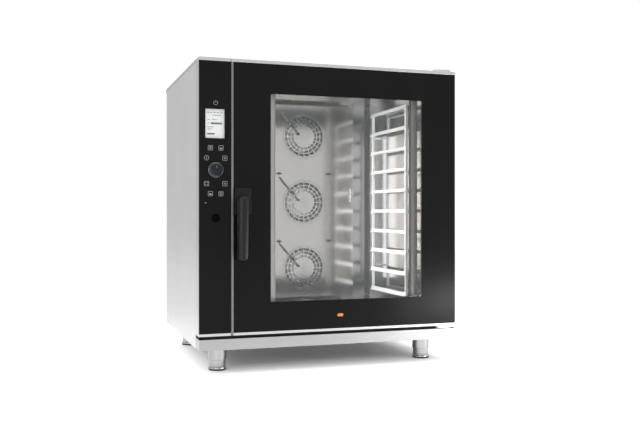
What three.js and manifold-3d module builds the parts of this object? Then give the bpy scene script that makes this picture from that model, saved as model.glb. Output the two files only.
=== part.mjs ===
// Ten-level combi steamer oven: a casing with a fan cavity, a control column on the left and a
// right-hinged double-glazed door. Millimetres, +X to the right, +Y to the back, +Z up.
// The model is laid out with Y = 0 on the front face of the glass and X = 0 on the centre line.
import * as THREE from 'three';
import { mergeVertices } from 'three/addons/utils/BufferGeometryUtils.js';
import Module from 'manifold-3d';

const wasm = await Module();
wasm.setup();

// ---- driving dimensions ----
const GAP = 0.3;                                    // clearance between pieces that touch
const SHEET = 1.5;                                  // casing and cavity sheet
const SIDE = 465;                                   // half of the width over the side panels
const BODY_REAR = 753;
const BODY_BOTTOM = 83.5;
const BODY_TOP = 1045;
const PAN_BOTTOM = BODY_BOTTOM + SHEET + GAP;
const FLANGE = 20;                                  // folded edges of the side panels
const COVER = { lip: 1.2, sideDrop: 9, rearDrop: 18, rearOverhang: 4 };
const REAR_SKIN_INSET = 3;
const SLOTS = { banks: [-300, 233], rows: 9, low: 640, pitch: 24, half: 60, halfHeight: 4 };

const GLASS = 6;
const GLASS_LOW = 139;
const GLASS_HIGH = 1033.5;
const FRONT_LOW = 130;                              // lower edge of the door and the control column
const FRAME_FRONT = 62;                             // front face of the cavity's front frame
const FRAME_REAR = FRAME_FRONT + 2;
const SEAM_HEIGHT = 121;                            // the pan's upstand ends here, the front frame starts

const COLUMN_RIGHT = -359;
const COLUMN_RIM = 12;                              // steel left above and below the column's hollow
const DOOR_LEFT = -357.5;
const TRIM_RIGHT = -350.5;                            // the door's visible edge strip ends here
const DOOR_DEPTH = 56;
const INNER_GLASS = 5;
const STILE_LEFT_INNER = -300;
const STILE_RIGHT_INNER = 427;
const RAIL_HEIGHT = 40;
const HINGE = { x: 440, y: 25, pin: 6, bore: 6.3, depth: 24 };
const HINGE_PLATE = { left: 49, right: 17, front: 19, thick: 8, rear: 100, corner: 18, lowerCorner: 12 };
const HINGE_CHAMFER = 14;
const LIGHT_BAR = { inner: 251, outer: 278, front: 34, low: 190, high: 984 };

const HANDLE = { x: -327, z: 572, spindle: 6, width: 36, depth: 38, front: -60, top: 588, bottom: 378 };
const GRIP_CORNER = 9;
const HANDLE_NECK = 15;
const BRACKET = { left: -347.5, right: -292, low: 528, high: 617, thick: 12, corner: 5 };
const LATCH = { left: 19, right: 10, half: 8, thick: 3.4 };
const STRIKER = { left: -354, right: -348, low: 552, high: 592, gap: 1.5 };

const CAVITY = { cx: 53, half: 310, low: 188, high: 980, rear: 600 };
const GASKET = { near: 3, far: 15, innerCorner: 10, outerCorner: 22 };
const BAFFLE = { y: 512, half: 212, low: 198, high: 970, flange: 22 };
const GRILLE = { rings: [[30, 54], [60, 82]], sectors: 8, slotShare: 0.8 };
const FAN = { heights: [313, 578.5, 844], eye: 88, radius: 104, blades: 12, bladeInner: 62, shaft: 7.5 };
const WHEEL = { hub: 553, ringFront: 530, ringRear: 533, ringWidth: 22, plateFront: 576, plateRear: 579 };
const SPRAY = { radius: 4, standoff: 10, start: [-104, 100], bend: [-92, 86], end: [-22, 6] };
const HEATER = { radius: 118, tube: 4.25, front: 545, rear: 563, legs: [-20, 20] };
const MOTOR = { radius: 58, front: 605, rear: 696, flangeHalf: 75, flangeThick: 3, socket: 24 };
const RACK = { plane: 275, post: 8, front: 129, rear: 451, overrun: 8, low: 233, pitch: 77.44, rails: 10 };
const RACK_PEG = { radius: 4, inset: 90 };
const RAIL = { height: 13, shelf: 16, sheet: 2 };

const KNOB = { x: -410, z: 676, radius: 25, front: -20, back: -2.8, shaft: 3, bore: 3.4, boreDepth: 6 };
const DISPLAY = { left: -446, right: -378, low: 778, high: 878, rear: 11 };
const BOARD = { left: -450, right: -372, low: 600, high: 900, front: 14, rear: 16, hole: 7 };
const PORT = { x: -410, z: 518, radius: 14, stem: 6, front: -5, rear: 12 };

const FOOT = { inset: 83, front: 113, rear: 682, shank: 28.4, base: 30.6, top: 67 };
const SOCKET = { radius: 31, bore: 29.2, low: 36 };  // welded under the pan, round each foot's shank
const TRAY = { front: -4, rear: 61, low: 84, high: 120.5, lip: 108 };
const VENT = { x: 240, y: 560, radius: 30, wall: 1.5, top: 1088 };
const DRAIN = { y: 480, radius: 20, wall: 2, bend: 30, height: 118, end: 778 };
const FITTING = { hole: 9.5, stem: 9, inside: 8, washer: 17 };
const WATER = { x: -330, z: 190, radius: 13, bore: 8, end: 776, nut: 18, nutThick: 6 };
const GLAND = { x: -400, z: 190, radius: 15, bore: 7, end: 781, mouth: 11, taper: 6, collar: 5 };
const REAR_SKIN = BODY_REAR + GAP;
const MIDDLE_Y = (HANDLE.front + GLAND.end) / 2;    // the finished oven is centred on this depth

// ---- materials ----
const material = (color, metalness, roughness) =>
  new THREE.MeshStandardMaterial({ color, metalness, roughness });
const steel = material(0xc8c8c4, 0.9, 0.32);
const mirrorSteel = material(0xd6d6d2, 1.0, 0.12);
const darkSteel = material(0x77777a, 0.9, 0.4);
const blackGlass = material(0x1b1c1e, 0.0, 0.06);
const clearGlass = material(0x9aa5a4, 0.0, 0.04);
const blackPlastic = material(0x232324, 0.0, 0.5);
const knobPlastic = material(0x2b3138, 0.1, 0.35);
const screen = material(0xdadcdc, 0.0, 0.25);
const greenBoard = material(0x2c5a3c, 0.0, 0.6);
const silicone = material(0x3a3a3c, 0.0, 0.7);
const castAluminium = material(0x8f9194, 0.7, 0.5);
const heaterAlloy = material(0x5c5148, 0.6, 0.55);
const brass = material(0xb08d4a, 0.9, 0.35);

// ---- geometry helpers ----
function box(x0, x1, y0, y1, z0, z1) {
  const geometry = new THREE.BoxGeometry(x1 - x0, y1 - y0, z1 - z0);
  return geometry.translate((x0 + x1) / 2, (y0 + y1) / 2, (z0 + z1) / 2);
}

// A solid of revolution about the Z axis, from [radius, z] pairs that start and end on the axis.
function turnedZ(profile, x, y, segments = 28) {
  const points = profile.map(([radius, z]) => new THREE.Vector2(radius, z));
  return new THREE.LatheGeometry(points, segments).rotateX(Math.PI / 2).translate(x, y, 0);
}

// A solid of revolution about the Y axis, from [radius, y] pairs.
function turnedY(profile, x, z, segments = 28) {
  const points = profile.map(([radius, y]) => new THREE.Vector2(radius, y));
  return new THREE.LatheGeometry(points, segments).translate(x, 0, z);
}

function rodY(radius, x, z, y0, y1, segments = 24) {
  return new THREE.CylinderGeometry(radius, radius, y1 - y0, segments).translate(x, (y0 + y1) / 2, z);
}

function rodZ(radius, x, y, z0, z1, segments = 24) {
  const rod = new THREE.CylinderGeometry(radius, radius, z1 - z0, segments).rotateX(Math.PI / 2);
  return rod.translate(x, y, (z0 + z1) / 2);
}

function rodX(radius, y, z, x0, x1, segments = 12) {
  const rod = new THREE.CylinderGeometry(radius, radius, x1 - x0, segments).rotateZ(Math.PI / 2);
  return rod.translate((x0 + x1) / 2, y, z);
}

// An outline in X and Z, extruded from y0 to y1.
function plateY(shape, y0, y1, curveSegments = 6) {
  const geometry = new THREE.ExtrudeGeometry(shape, { depth: y1 - y0, bevelEnabled: false, curveSegments });
  return geometry.rotateX(Math.PI / 2).translate(0, y1, 0);
}

// An outline in X and Y, extruded from z0 to z1.
function plateZ(shape, z0, z1, curveSegments = 6) {
  const geometry = new THREE.ExtrudeGeometry(shape, { depth: z1 - z0, bevelEnabled: false, curveSegments });
  return geometry.translate(0, 0, z0);
}

function roundedRectangle(u0, u1, v0, v1, radius) {
  const shape = new THREE.Shape();
  shape.moveTo(u0 + radius, v0);
  shape.lineTo(u1 - radius, v0);
  shape.absarc(u1 - radius, v0 + radius, radius, -Math.PI / 2, 0);
  shape.lineTo(u1, v1 - radius);
  shape.absarc(u1 - radius, v1 - radius, radius, 0, Math.PI / 2);
  shape.lineTo(u0 + radius, v1);
  shape.absarc(u0 + radius, v1 - radius, radius, Math.PI / 2, Math.PI);
  shape.lineTo(u0, v0 + radius);
  shape.absarc(u0 + radius, v0 + radius, radius, Math.PI, 1.5 * Math.PI);
  return shape;
}

function polygon(...points) {
  return new THREE.Shape(points.map(([u, v]) => new THREE.Vector2(u, v)));
}

// ---- solids: joining and cutting ----
function solid(geometry) {
  const bare = geometry.clone();
  bare.deleteAttribute('normal');
  bare.deleteAttribute('uv');
  const merged = mergeVertices(bare, 1e-4);
  const faces = [];
  for (let i = 0; i < merged.index.count; i += 3) {
    const [a, b, c] = [0, 1, 2].map((k) => merged.index.getX(i + k));
    if (a !== b && b !== c && c !== a) faces.push(a, b, c);
  }
  const vertProperties = new Float32Array(merged.attributes.position.array);
  return new wasm.Manifold(new wasm.Mesh({ numProp: 3, vertProperties, triVerts: new Uint32Array(faces) }));
}

const asSolid = (piece) => (piece.isBufferGeometry ? solid(piece) : piece);

function join(...pieces) {
  return pieces.map(asSolid).reduce((whole, piece) => whole.add(piece));
}

function cut(body, ...tools) {
  return tools.map(asSolid).reduce((rest, tool) => rest.subtract(tool), asSolid(body));
}

function toGeometry(piece) {
  if (piece.isBufferGeometry) return piece;
  const { vertProperties, triVerts, numProp } = piece.getMesh();
  const geometry = new THREE.BufferGeometry();
  const positions = new Float32Array(vertProperties.length / numProp * 3);
  for (let i = 0; i < positions.length / 3; i += 1) {
    positions.set(vertProperties.subarray(i * numProp, i * numProp + 3), i * 3);
  }
  geometry.setAttribute('position', new THREE.BufferAttribute(positions, 3));
  geometry.setIndex(new THREE.BufferAttribute(new Uint32Array(triVerts), 1));
  geometry.computeVertexNormals();
  return geometry;
}

const oven = new THREE.Group();
const cabinet = new THREE.Group();
const door = new THREE.Group();
const controls = new THREE.Group();
oven.add(cabinet, door, controls);

function add(group, name, piece, finish) {
  const mesh = new THREE.Mesh(toGeometry(piece), finish);
  mesh.name = name;
  group.add(mesh);
}

// ---- casing ----
const footPlaces = [-1, 1].flatMap((side) =>
  [FOOT.front, FOOT.rear].map((y) => ({ x: side * (SIDE - FOOT.inset), y })));

function baseFrame() {
  const inner = SIDE - SHEET - GAP;
  const plate = box(-inner, inner, FRAME_FRONT, BODY_REAR - SHEET - GAP, PAN_BOTTOM, PAN_BOTTOM + SHEET);
  const upstand = box(-inner, inner, FRAME_FRONT, FRAME_FRONT + SHEET, PAN_BOTTOM, SEAM_HEIGHT - GAP);
  const sockets = footPlaces.map(({ x, y }) =>
    rodZ(SOCKET.radius, x, y, SOCKET.low, PAN_BOTTOM + 0.5, 20));
  const bores = footPlaces.map(({ x, y }) =>
    rodZ(SOCKET.bore, x, y, SOCKET.low - 1, PAN_BOTTOM - 2, 20));
  return cut(join(plate, upstand, ...sockets), ...bores);
}

// The casing side: a flat sheet with an inward flange along its bottom and its rear edge.
function sidePanel(side) {
  const outer = side * SIDE;
  const span = (depth) => [outer, outer - side * depth].sort((a, b) => a - b);
  const top = BODY_TOP - SHEET - GAP;
  const skin = box(...span(SHEET), FRAME_FRONT, BODY_REAR, BODY_BOTTOM, top);
  const foot = box(...span(FLANGE), FRAME_FRONT, BODY_REAR, BODY_BOTTOM, BODY_BOTTOM + SHEET);
  const rear = box(...span(FLANGE), BODY_REAR - SHEET, BODY_REAR, BODY_BOTTOM, top);
  return join(skin, foot, rear);
}

// The lid: a sheet with narrow lips folded down outside the side panels and behind the rear skin.
function topCover() {
  const rearEdge = BODY_REAR + COVER.rearOverhang;
  const [inner, outer] = [SIDE + GAP, SIDE + GAP + COVER.lip];
  const plate = box(-outer, outer, FRAME_FRONT, rearEdge, BODY_TOP - SHEET, BODY_TOP);
  const rearLip = box(-outer, outer, rearEdge - SHEET, rearEdge, BODY_TOP - COVER.rearDrop, BODY_TOP);
  const sideLips = [[-outer, -inner], [inner, outer]].map(([x0, x1]) =>
    box(x0, x1, FRAME_FRONT, rearEdge, BODY_TOP - COVER.sideDrop, BODY_TOP));
  const chimney = rodZ(VENT.radius + GAP, VENT.x, VENT.y, BODY_TOP - 4, BODY_TOP + 2);
  return cut(join(plate, rearLip, ...sideLips), chimney);
}

// Rear skin with two banks of cooling slots beside the motors.
function rearPanel() {
  const half = SIDE - REAR_SKIN_INSET;
  const depth = [REAR_SKIN - 2, REAR_SKIN + 4];
  const [low, high] = [BODY_BOTTOM + 6, BODY_TOP - COVER.rearDrop - 2];
  const skin = box(-half, half, REAR_SKIN, REAR_SKIN + SHEET, low, high);
  const slots = SLOTS.banks.flatMap((x) => Array.from({ length: SLOTS.rows }, (_, row) => {
    const z = SLOTS.low + row * SLOTS.pitch;
    return box(x - SLOTS.half, x + SLOTS.half, ...depth, z - SLOTS.halfHeight, z + SLOTS.halfHeight);
  }));
  const inlets = [WATER, GLAND].map(({ x, z }) => rodY(FITTING.hole, x, z, ...depth, 16));
  const drain = rodY(DRAIN.radius + GAP, CAVITY.cx, DRAIN.height, ...depth, 24);
  return cut(skin, ...slots, ...inlets, drain);
}

add(cabinet, 'base_frame', baseFrame(), steel);
add(cabinet, 'side_panel_left', sidePanel(-1), steel);
add(cabinet, 'side_panel_right', sidePanel(1), steel);
add(cabinet, 'top_cover', topCover(), steel);
add(cabinet, 'rear_panel', rearPanel(), steel);

// ---- control column ----
function controlColumn() {
  const rear = FRAME_FRONT - GAP;
  const shell = box(-SIDE, COLUMN_RIGHT, 0, rear, FRONT_LOW, BODY_TOP);
  const glassSeat = box(-SIDE - 1, COLUMN_RIGHT + 1, -1, GLASS + GAP, GLASS_LOW - GAP, GLASS_HIGH + GAP);
  const hollow = box(-SIDE + SHEET, COLUMN_RIGHT - SHEET, 1, rear - SHEET, GLASS_LOW + COLUMN_RIM,
    GLASS_HIGH - COLUMN_RIM);
  return cut(shell, glassSeat, hollow);
}

function controlGlass() {
  const pane = box(-SIDE, COLUMN_RIGHT, 0, GLASS, GLASS_LOW, GLASS_HIGH);
  const holes = [[KNOB, KNOB.shaft + 2], [PORT, PORT.stem + 0.5]].map(([{ x, z }, radius]) =>
    rodY(radius, x, z, -1, GLASS + 1, 20));
  return cut(pane, ...holes);
}

function controlBoard() {
  const board = box(BOARD.left, BOARD.right, BOARD.front, BOARD.rear, BOARD.low, BOARD.high);
  return cut(board, rodY(BOARD.hole, KNOB.x, KNOB.z, BOARD.front - 1, BOARD.rear + 1, 16));
}

function portCap() {
  const { radius, stem, front, rear } = PORT;
  const profile = [
    [0, front], [radius - 4, front], [radius - 1, front + 1], [radius, front + 3], [radius, -GAP],
    [stem, -GAP], [stem, rear], [0, rear],
  ];
  return turnedY(profile, PORT.x, PORT.z, 20);
}

function controlKnob() {
  const { radius, front, back, bore, boreDepth } = KNOB;
  const profile = [
    [0, front], [radius - 3, front], [radius - 1, front + 2], [radius, back], [bore, back],
    [bore, back - boreDepth], [0, back - boreDepth],
  ];
  return turnedY(profile, KNOB.x, KNOB.z, 28);
}

const screenBlock = box(DISPLAY.left, DISPLAY.right, GLASS + GAP, DISPLAY.rear, DISPLAY.low, DISPLAY.high);
const shaftFront = KNOB.back - KNOB.boreDepth + GAP;
add(cabinet, 'control_column', controlColumn(), steel);
add(cabinet, 'control_glass', controlGlass(), blackGlass);
add(cabinet, 'display', screenBlock, screen);
add(cabinet, 'control_board', controlBoard(), greenBoard);
add(cabinet, 'port_cap', portCap(), blackPlastic);
add(controls, 'encoder_shaft', rodY(KNOB.shaft, KNOB.x, KNOB.z, shaftFront, BOARD.rear + 8, 16), steel);
add(controls, 'control_knob', controlKnob(), knobPlastic);

// ---- cavity ----
const cavityLeft = CAVITY.cx - CAVITY.half;
const cavityRight = CAVITY.cx + CAVITY.half;
const cavityFront = FRAME_REAR + GAP;
const cavityRear = CAVITY.rear - GAP;

function frontFrame() {
  const inner = SIDE - SHEET - GAP;
  const plate = box(-inner, inner, FRAME_FRONT, FRAME_REAR, SEAM_HEIGHT, BODY_TOP - SHEET - GAP);
  return cut(plate, box(cavityLeft, cavityRight, FRAME_FRONT - 1, FRAME_REAR + 1, CAVITY.low, CAVITY.high));
}

// A closed seal around the cavity mouth, with rounded corners.
function doorGasket() {
  const ring = (margin, radius) => roundedRectangle(
    cavityLeft - margin, cavityRight + margin, CAVITY.low - margin, CAVITY.high + margin, radius);
  const outline = ring(GASKET.far, GASKET.outerCorner);
  outline.holes.push(new THREE.Path(ring(GASKET.near, GASKET.innerCorner).getPoints(4)));
  return plateY(outline, DOOR_DEPTH + GAP, FRAME_FRONT - GAP, 4);
}

function backWall() {
  const wall = box(cavityLeft - SHEET, cavityRight + SHEET, CAVITY.rear, CAVITY.rear + SHEET,
    CAVITY.low - SHEET, CAVITY.high + SHEET);
  const holes = FAN.heights.flatMap((z) => [
    rodY(FAN.shaft + 2, CAVITY.cx, z, CAVITY.rear - 2, CAVITY.rear + 4, 12),
    ...heaterLegs(z, HEATER.tube + 1, CAVITY.rear - 2, CAVITY.rear + 4),
  ]);
  return cut(wall, ...holes);
}

// The two straight ends of a heater, or the holes that they pass through.
function heaterLegs(z, radius, y0, y1) {
  return HEATER.legs.map((dx) => {
    const rise = Math.sqrt(HEATER.radius ** 2 - dx ** 2);
    return rodY(radius, CAVITY.cx + dx, z + rise, y0, y1, 8);
  });
}

const wallSpan = [cavityFront, cavityRear];
add(cabinet, 'front_frame', frontFrame(), steel);
add(cabinet, 'door_gasket', doorGasket(), silicone);
add(cabinet, 'cavity_left_wall',
  box(cavityLeft - SHEET, cavityLeft, ...wallSpan, CAVITY.low, CAVITY.high), mirrorSteel);
add(cabinet, 'cavity_right_wall',
  box(cavityRight, cavityRight + SHEET, ...wallSpan, CAVITY.low, CAVITY.high), mirrorSteel);
add(cabinet, 'cavity_ceiling', cut(
  box(cavityLeft - SHEET, cavityRight + SHEET, ...wallSpan, CAVITY.high + GAP, CAVITY.high + SHEET + GAP),
  rodZ(VENT.radius + GAP, VENT.x, VENT.y, CAVITY.high - 2, CAVITY.high + 5)), mirrorSteel);
add(cabinet, 'cavity_floor', cut(
  box(cavityLeft - SHEET, cavityRight + SHEET, ...wallSpan, CAVITY.low - SHEET - GAP, CAVITY.low - GAP),
  rodZ(DRAIN.radius + GAP, CAVITY.cx, DRAIN.y, CAVITY.low - 5, CAVITY.low + 2)), mirrorSteel);
add(cabinet, 'cavity_back_wall', backWall(), mirrorSteel);

// ---- fan section ----
function baffle() {
  const [left, right] = [CAVITY.cx - BAFFLE.half, CAVITY.cx + BAFFLE.half];
  const rear = BAFFLE.y + BAFFLE.flange;
  const plate = box(left, right, BAFFLE.y, BAFFLE.y + SHEET, BAFFLE.low, BAFFLE.high);
  const flanges = [
    box(left, left + SHEET, BAFFLE.y, rear, BAFFLE.low, BAFFLE.high),
    box(right - SHEET, right, BAFFLE.y, rear, BAFFLE.low, BAFFLE.high),
  ];
  const eyes = FAN.heights.map((z) => rodY(FAN.eye, CAVITY.cx, z, BAFFLE.y - 1, BAFFLE.y + 4, 32));
  return cut(join(plate, ...flanges), ...eyes);
}

// A slot that follows the arc of a ring, cut through the grille.
function arcSlot(inner, outer, middle, spread, z) {
  const points = [];
  for (const [radius, direction] of [[outer, 1], [inner, -1]]) {
    for (let step = -1; step <= 1; step += 1) {
      const angle = middle + direction * step * spread / 2;
      points.push([CAVITY.cx + radius * Math.cos(angle), z + radius * Math.sin(angle)]);
    }
  }
  return plateY(polygon(...points), BAFFLE.y - 1, BAFFLE.y + 4);
}

// Intake grille: two rings of arc slots around a plain centre.
function intakeGrille(z) {
  const disc = rodY(FAN.eye - GAP, CAVITY.cx, z, BAFFLE.y, BAFFLE.y + SHEET, 32);
  const step = 2 * Math.PI / GRILLE.sectors;
  const slots = GRILLE.rings.flatMap(([inner, outer]) => Array.from({ length: GRILLE.sectors }, (_, k) =>
    arcSlot(inner, outer, k * step, step * GRILLE.slotShare, z)));
  return cut(disc, ...slots);
}

// Radial fan wheel: back plate, hub, shaft, blades and a front ring.
function fanWheel(z) {
  const { hub, ringFront, ringRear, ringWidth, plateFront, plateRear } = WHEEL;
  const shaftEnd = MOTOR.front + MOTOR.socket - 2;
  const profile = [
    [0, hub], [17, hub], [20, plateFront], [FAN.radius, plateFront], [FAN.radius, plateRear],
    [FAN.shaft, plateRear], [FAN.shaft, shaftEnd], [0, shaftEnd],
  ];
  const wheel = turnedY(profile, CAVITY.cx, z, 24);
  const ring = cut(
    rodY(FAN.radius, CAVITY.cx, z, ringFront, ringRear, 24),
    rodY(FAN.radius - ringWidth, CAVITY.cx, z, ringFront - 1, ringRear + 1, 24));
  const blades = [];
  for (let k = 0; k < FAN.blades; k += 1) {
    const blade = box(-1, 1, ringFront + 1, plateFront + 1, FAN.bladeInner, FAN.radius - 2);
    blades.push(blade.rotateY(k * 2 * Math.PI / FAN.blades).translate(CAVITY.cx, 0, z));
  }
  return join(wheel, ring, ...blades);
}

// Two heater turns around the wheel, joined by two straight terminals through the back wall.
function ringHeater(z) {
  const turn = (y) => new THREE.TorusGeometry(HEATER.radius, HEATER.tube, 6, 26)
    .rotateX(Math.PI / 2).translate(CAVITY.cx, y, z);
  const legs = heaterLegs(z, HEATER.tube - 0.5, HEATER.front, MOTOR.front + 10);
  return join(turn(HEATER.front), turn(HEATER.rear), ...legs);
}

// Motor housing with a square flange against the back wall and a blind bore for the wheel's shaft.
function fanMotor(z) {
  const { front, rear, radius, flangeHalf, flangeThick, socket } = MOTOR;
  const bore = FAN.shaft + 0.5;
  const waist = radius - 6;
  const profile = [
    [0, front + socket], [bore, front + socket], [bore, front], [radius, front], [radius, front + 8],
    [waist, front + 14], [waist, rear - 14], [radius - 22, rear], [0, rear],
  ];
  const { cx } = CAVITY;
  const span = (middle) => [middle - flangeHalf, middle + flangeHalf];
  const flange = box(...span(cx), front, front + flangeThick, ...span(z));
  const shaftHole = rodY(bore, cx, z, front - 1, front + socket, 20);
  const legHoles = heaterLegs(z, HEATER.tube + 1, front - 1, front + 20);
  return cut(join(turnedY(profile, cx, z, 20), flange), shaftHole, ...legHoles);
}

add(cabinet, 'baffle', baffle(), mirrorSteel);
FAN.heights.forEach((z, index) => {
  const number = index + 1;
  add(cabinet, `intake_grille_${number}`, intakeGrille(z), mirrorSteel);
  add(cabinet, `ring_heater_${number}`, ringHeater(z), heaterAlloy);
  add(cabinet, `fan_motor_${number}`, fanMotor(z), castAluminium);
  add(cabinet, `fan_wheel_${number}`, fanWheel(z), darkSteel);
});

// Spray pipe: leaves the fan cover at the upper left of an eye and ends in front of the wheel's hub.
function sprayPipe(z) {
  const { radius, standoff, start, bend, end } = SPRAY;
  const y = BAFFLE.y - standoff;
  const section = new THREE.Shape().absarc(0, 0, radius, 0, 2 * Math.PI);
  const point = ([dx, dz], depth) => new THREE.Vector3(CAVITY.cx + dx, depth, z + dz);
  const corner = point(start, y);
  const path = new THREE.CurvePath();
  path.add(new THREE.QuadraticBezierCurve3(point(start, BAFFLE.y - GAP), corner, point(bend, y)));
  path.add(new THREE.LineCurve3(point(bend, y), point(end, y)));
  return new THREE.ExtrudeGeometry(section, { steps: 14, curveSegments: 4, extrudePath: path });
}

FAN.heights.forEach((z, index) => {
  add(cabinet, `spray_pipe_${index + 1}`, sprayPipe(z), steel);
});

// ---- tray racks ----
// One side's lift-off rack: two posts, ten L-shaped rails and four pegs that reach the cavity wall.
function trayRack(side) {
  const at = (a, b) => [CAVITY.cx + side * a, CAVITY.cx + side * b].sort((p, q) => p - q);
  const top = RACK.low + (RACK.rails - 1) * RACK.pitch;
  const ends = [RACK.low - RAIL.height / 2, top + RAIL.height / 2];
  const postSpan = at(RACK.plane, RACK.plane + RACK.post);
  const posts = [RACK.front, RACK.rear].map((y) =>
    box(...postSpan, y - RACK.post / 2, y + RACK.post / 2, ...ends));
  const rails = [];
  for (let level = 0; level < RACK.rails; level += 1) {
    const low = RACK.low + level * RACK.pitch - RAIL.height / 2;
    const [y0, y1] = [RACK.front - RACK.overrun, RACK.rear + RACK.overrun];
    const web = at(RACK.plane - RAIL.sheet, RACK.plane + 0.2);
    rails.push(box(...web, y0, y1, low, low + RAIL.height));
    rails.push(box(...at(RACK.plane - RAIL.shelf, RACK.plane - 1), y0, y1, low, low + RAIL.sheet));
  }
  const pegSpan = at(RACK.plane + RACK.post - 1, CAVITY.half - GAP);
  const pegHeights = [RACK.low + RACK_PEG.inset, top - RACK_PEG.inset];
  const pegs = [RACK.front, RACK.rear].flatMap((y) => pegHeights.map((z) =>
    rodX(RACK_PEG.radius, y, z, ...pegSpan, 8)));
  return join(...posts, ...rails, ...pegs);
}

add(cabinet, 'rack_left', trayRack(-1), mirrorSteel);
add(cabinet, 'rack_right', trayRack(1), mirrorSteel);

// ---- services ----
function ventPipe() {
  const { radius, wall, top } = VENT;
  const outside = rodZ(radius, VENT.x, VENT.y, CAVITY.high, top, 32);
  const inside = rodZ(radius - wall, VENT.x, VENT.y, CAVITY.high - 1, top + 1, 32);
  return cut(outside, inside);
}

// The drain leaves the cavity floor, turns to the back and ends outside the rear skin.
function drainPipe() {
  const ring = new THREE.Shape().absarc(0, 0, DRAIN.radius, 0, 2 * Math.PI);
  ring.holes.push(new THREE.Path().absarc(0, 0, DRAIN.radius - DRAIN.wall, 0, 2 * Math.PI, true));
  const { bend } = DRAIN;
  const path = new THREE.CurvePath();
  const point = (y, z) => new THREE.Vector3(CAVITY.cx, y, z);
  path.add(new THREE.LineCurve3(point(DRAIN.y, CAVITY.low), point(DRAIN.y, DRAIN.height + bend)));
  path.add(new THREE.QuadraticBezierCurve3(point(DRAIN.y, DRAIN.height + bend),
    point(DRAIN.y, DRAIN.height), point(DRAIN.y + bend, DRAIN.height)));
  path.add(new THREE.LineCurve3(point(DRAIN.y + bend, DRAIN.height), point(DRAIN.end, DRAIN.height)));
  return new THREE.ExtrudeGeometry(ring, { steps: 12, curveSegments: 5, extrudePath: path });
}

const skinRear = REAR_SKIN + SHEET + GAP;
const fittingFront = REAR_SKIN - FITTING.inside;
const inletProfile = [
  [WATER.bore, fittingFront], [FITTING.stem, fittingFront], [FITTING.stem, skinRear], [WATER.nut, skinRear],
  [WATER.nut, skinRear + WATER.nutThick], [WATER.radius, skinRear + WATER.nutThick],
  [WATER.radius, WATER.end], [WATER.bore, WATER.end], [WATER.bore, fittingFront],
];
const glandProfile = [
  [GLAND.bore, fittingFront], [FITTING.stem, fittingFront], [FITTING.stem, skinRear],
  [FITTING.washer, skinRear], [FITTING.washer, skinRear + GLAND.collar],
  [GLAND.radius, skinRear + GLAND.collar], [GLAND.radius, GLAND.end - GLAND.taper],
  [GLAND.mouth, GLAND.end], [GLAND.bore, GLAND.end], [GLAND.bore, fittingFront],
];
add(cabinet, 'vent_pipe', ventPipe(), steel);
add(cabinet, 'drain_pipe', drainPipe(), steel);
add(cabinet, 'water_inlet', turnedY(inletProfile, WATER.x, WATER.z, 14), brass);
add(cabinet, 'cable_gland', turnedY(glandProfile, GLAND.x, GLAND.z, 14), blackPlastic);

// ---- door ----
const [pastSide, pastRear] = [SIDE + 1, DOOR_DEPTH + 1];
const hingeCorner = polygon(
  [SIDE - HINGE_CHAMFER, pastRear], [pastSide, DOOR_DEPTH - HINGE_CHAMFER], [pastSide, pastRear]);
const chamferTool = () => plateZ(hingeCorner, FRONT_LOW - 1, BODY_TOP + 1);
const glassRear = GLASS + GAP;
const railInnerLow = FRONT_LOW + RAIL_HEIGHT;
const railInnerHigh = BODY_TOP - RAIL_HEIGHT;
const innerGlassFront = DOOR_DEPTH - INNER_GLASS;

function leftStile() {
  const edge = box(DOOR_LEFT, TRIM_RIGHT, 0, DOOR_DEPTH, FRONT_LOW, GLASS_HIGH);
  const [low, high] = [railInnerLow + GAP, railInnerHigh - GAP];
  const post = box(TRIM_RIGHT - 1, STILE_LEFT_INNER, glassRear, DOOR_DEPTH, low, high);
  const spindleBore = rodY(HANDLE.spindle + 0.5, HANDLE.x, HANDLE.z, 0, DOOR_DEPTH + 1);
  return cut(join(edge, post), spindleBore);
}

function rightStile() {
  const [low, high] = [railInnerLow + GAP, railInnerHigh - GAP];
  const post = box(STILE_RIGHT_INNER, SIDE, glassRear, DOOR_DEPTH, low, high);
  return cut(post, chamferTool());
}

// The top profile's cap runs over the left stile; its front edge shows above the glass.
function topRail() {
  const body = box(TRIM_RIGHT + GAP, SIDE, glassRear, DOOR_DEPTH, railInnerHigh, BODY_TOP);
  const cap = box(DOOR_LEFT, SIDE, 0, DOOR_DEPTH, GLASS_HIGH + GAP, BODY_TOP);
  return cut(join(body, cap), chamferTool(), hingeBore(BODY_TOP - HINGE.depth, BODY_TOP + 1));
}

// The bottom profile shows as a strip below the glass.
function bottomRail() {
  const left = TRIM_RIGHT + GAP;
  const body = box(left, SIDE, glassRear, DOOR_DEPTH, FRONT_LOW, railInnerLow);
  const strip = box(left, SIDE, 0, glassRear + 1, FRONT_LOW, GLASS_LOW - GAP);
  return cut(join(body, strip), chamferTool(), hingeBore(FRONT_LOW - 1, FRONT_LOW + HINGE.depth));
}

function hingeBore(low, high) {
  return rodZ(HINGE.bore, HINGE.x, HINGE.y, low, high);
}

function outerGlass() {
  const pane = box(TRIM_RIGHT + GAP, SIDE, 0, GLASS, GLASS_LOW, GLASS_HIGH);
  return cut(pane, rodY(HANDLE.spindle + 1, HANDLE.x, HANDLE.z, -1, GLASS + 1));
}

function innerGlass() {
  const [left, right] = [STILE_LEFT_INNER + GAP, STILE_RIGHT_INNER - GAP];
  return box(left, right, innerGlassFront, DOOR_DEPTH, railInnerLow + GAP, railInnerHigh - GAP);
}

// Upright light bars that stand between the panes at each side of the window.
function lightBar(side) {
  const { inner, outer, front, low, high } = LIGHT_BAR;
  const [x0, x1] = [CAVITY.cx + side * inner, CAVITY.cx + side * outer].sort((a, b) => a - b);
  return box(x0, x1, front, innerGlassFront - GAP, low, high);
}

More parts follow.
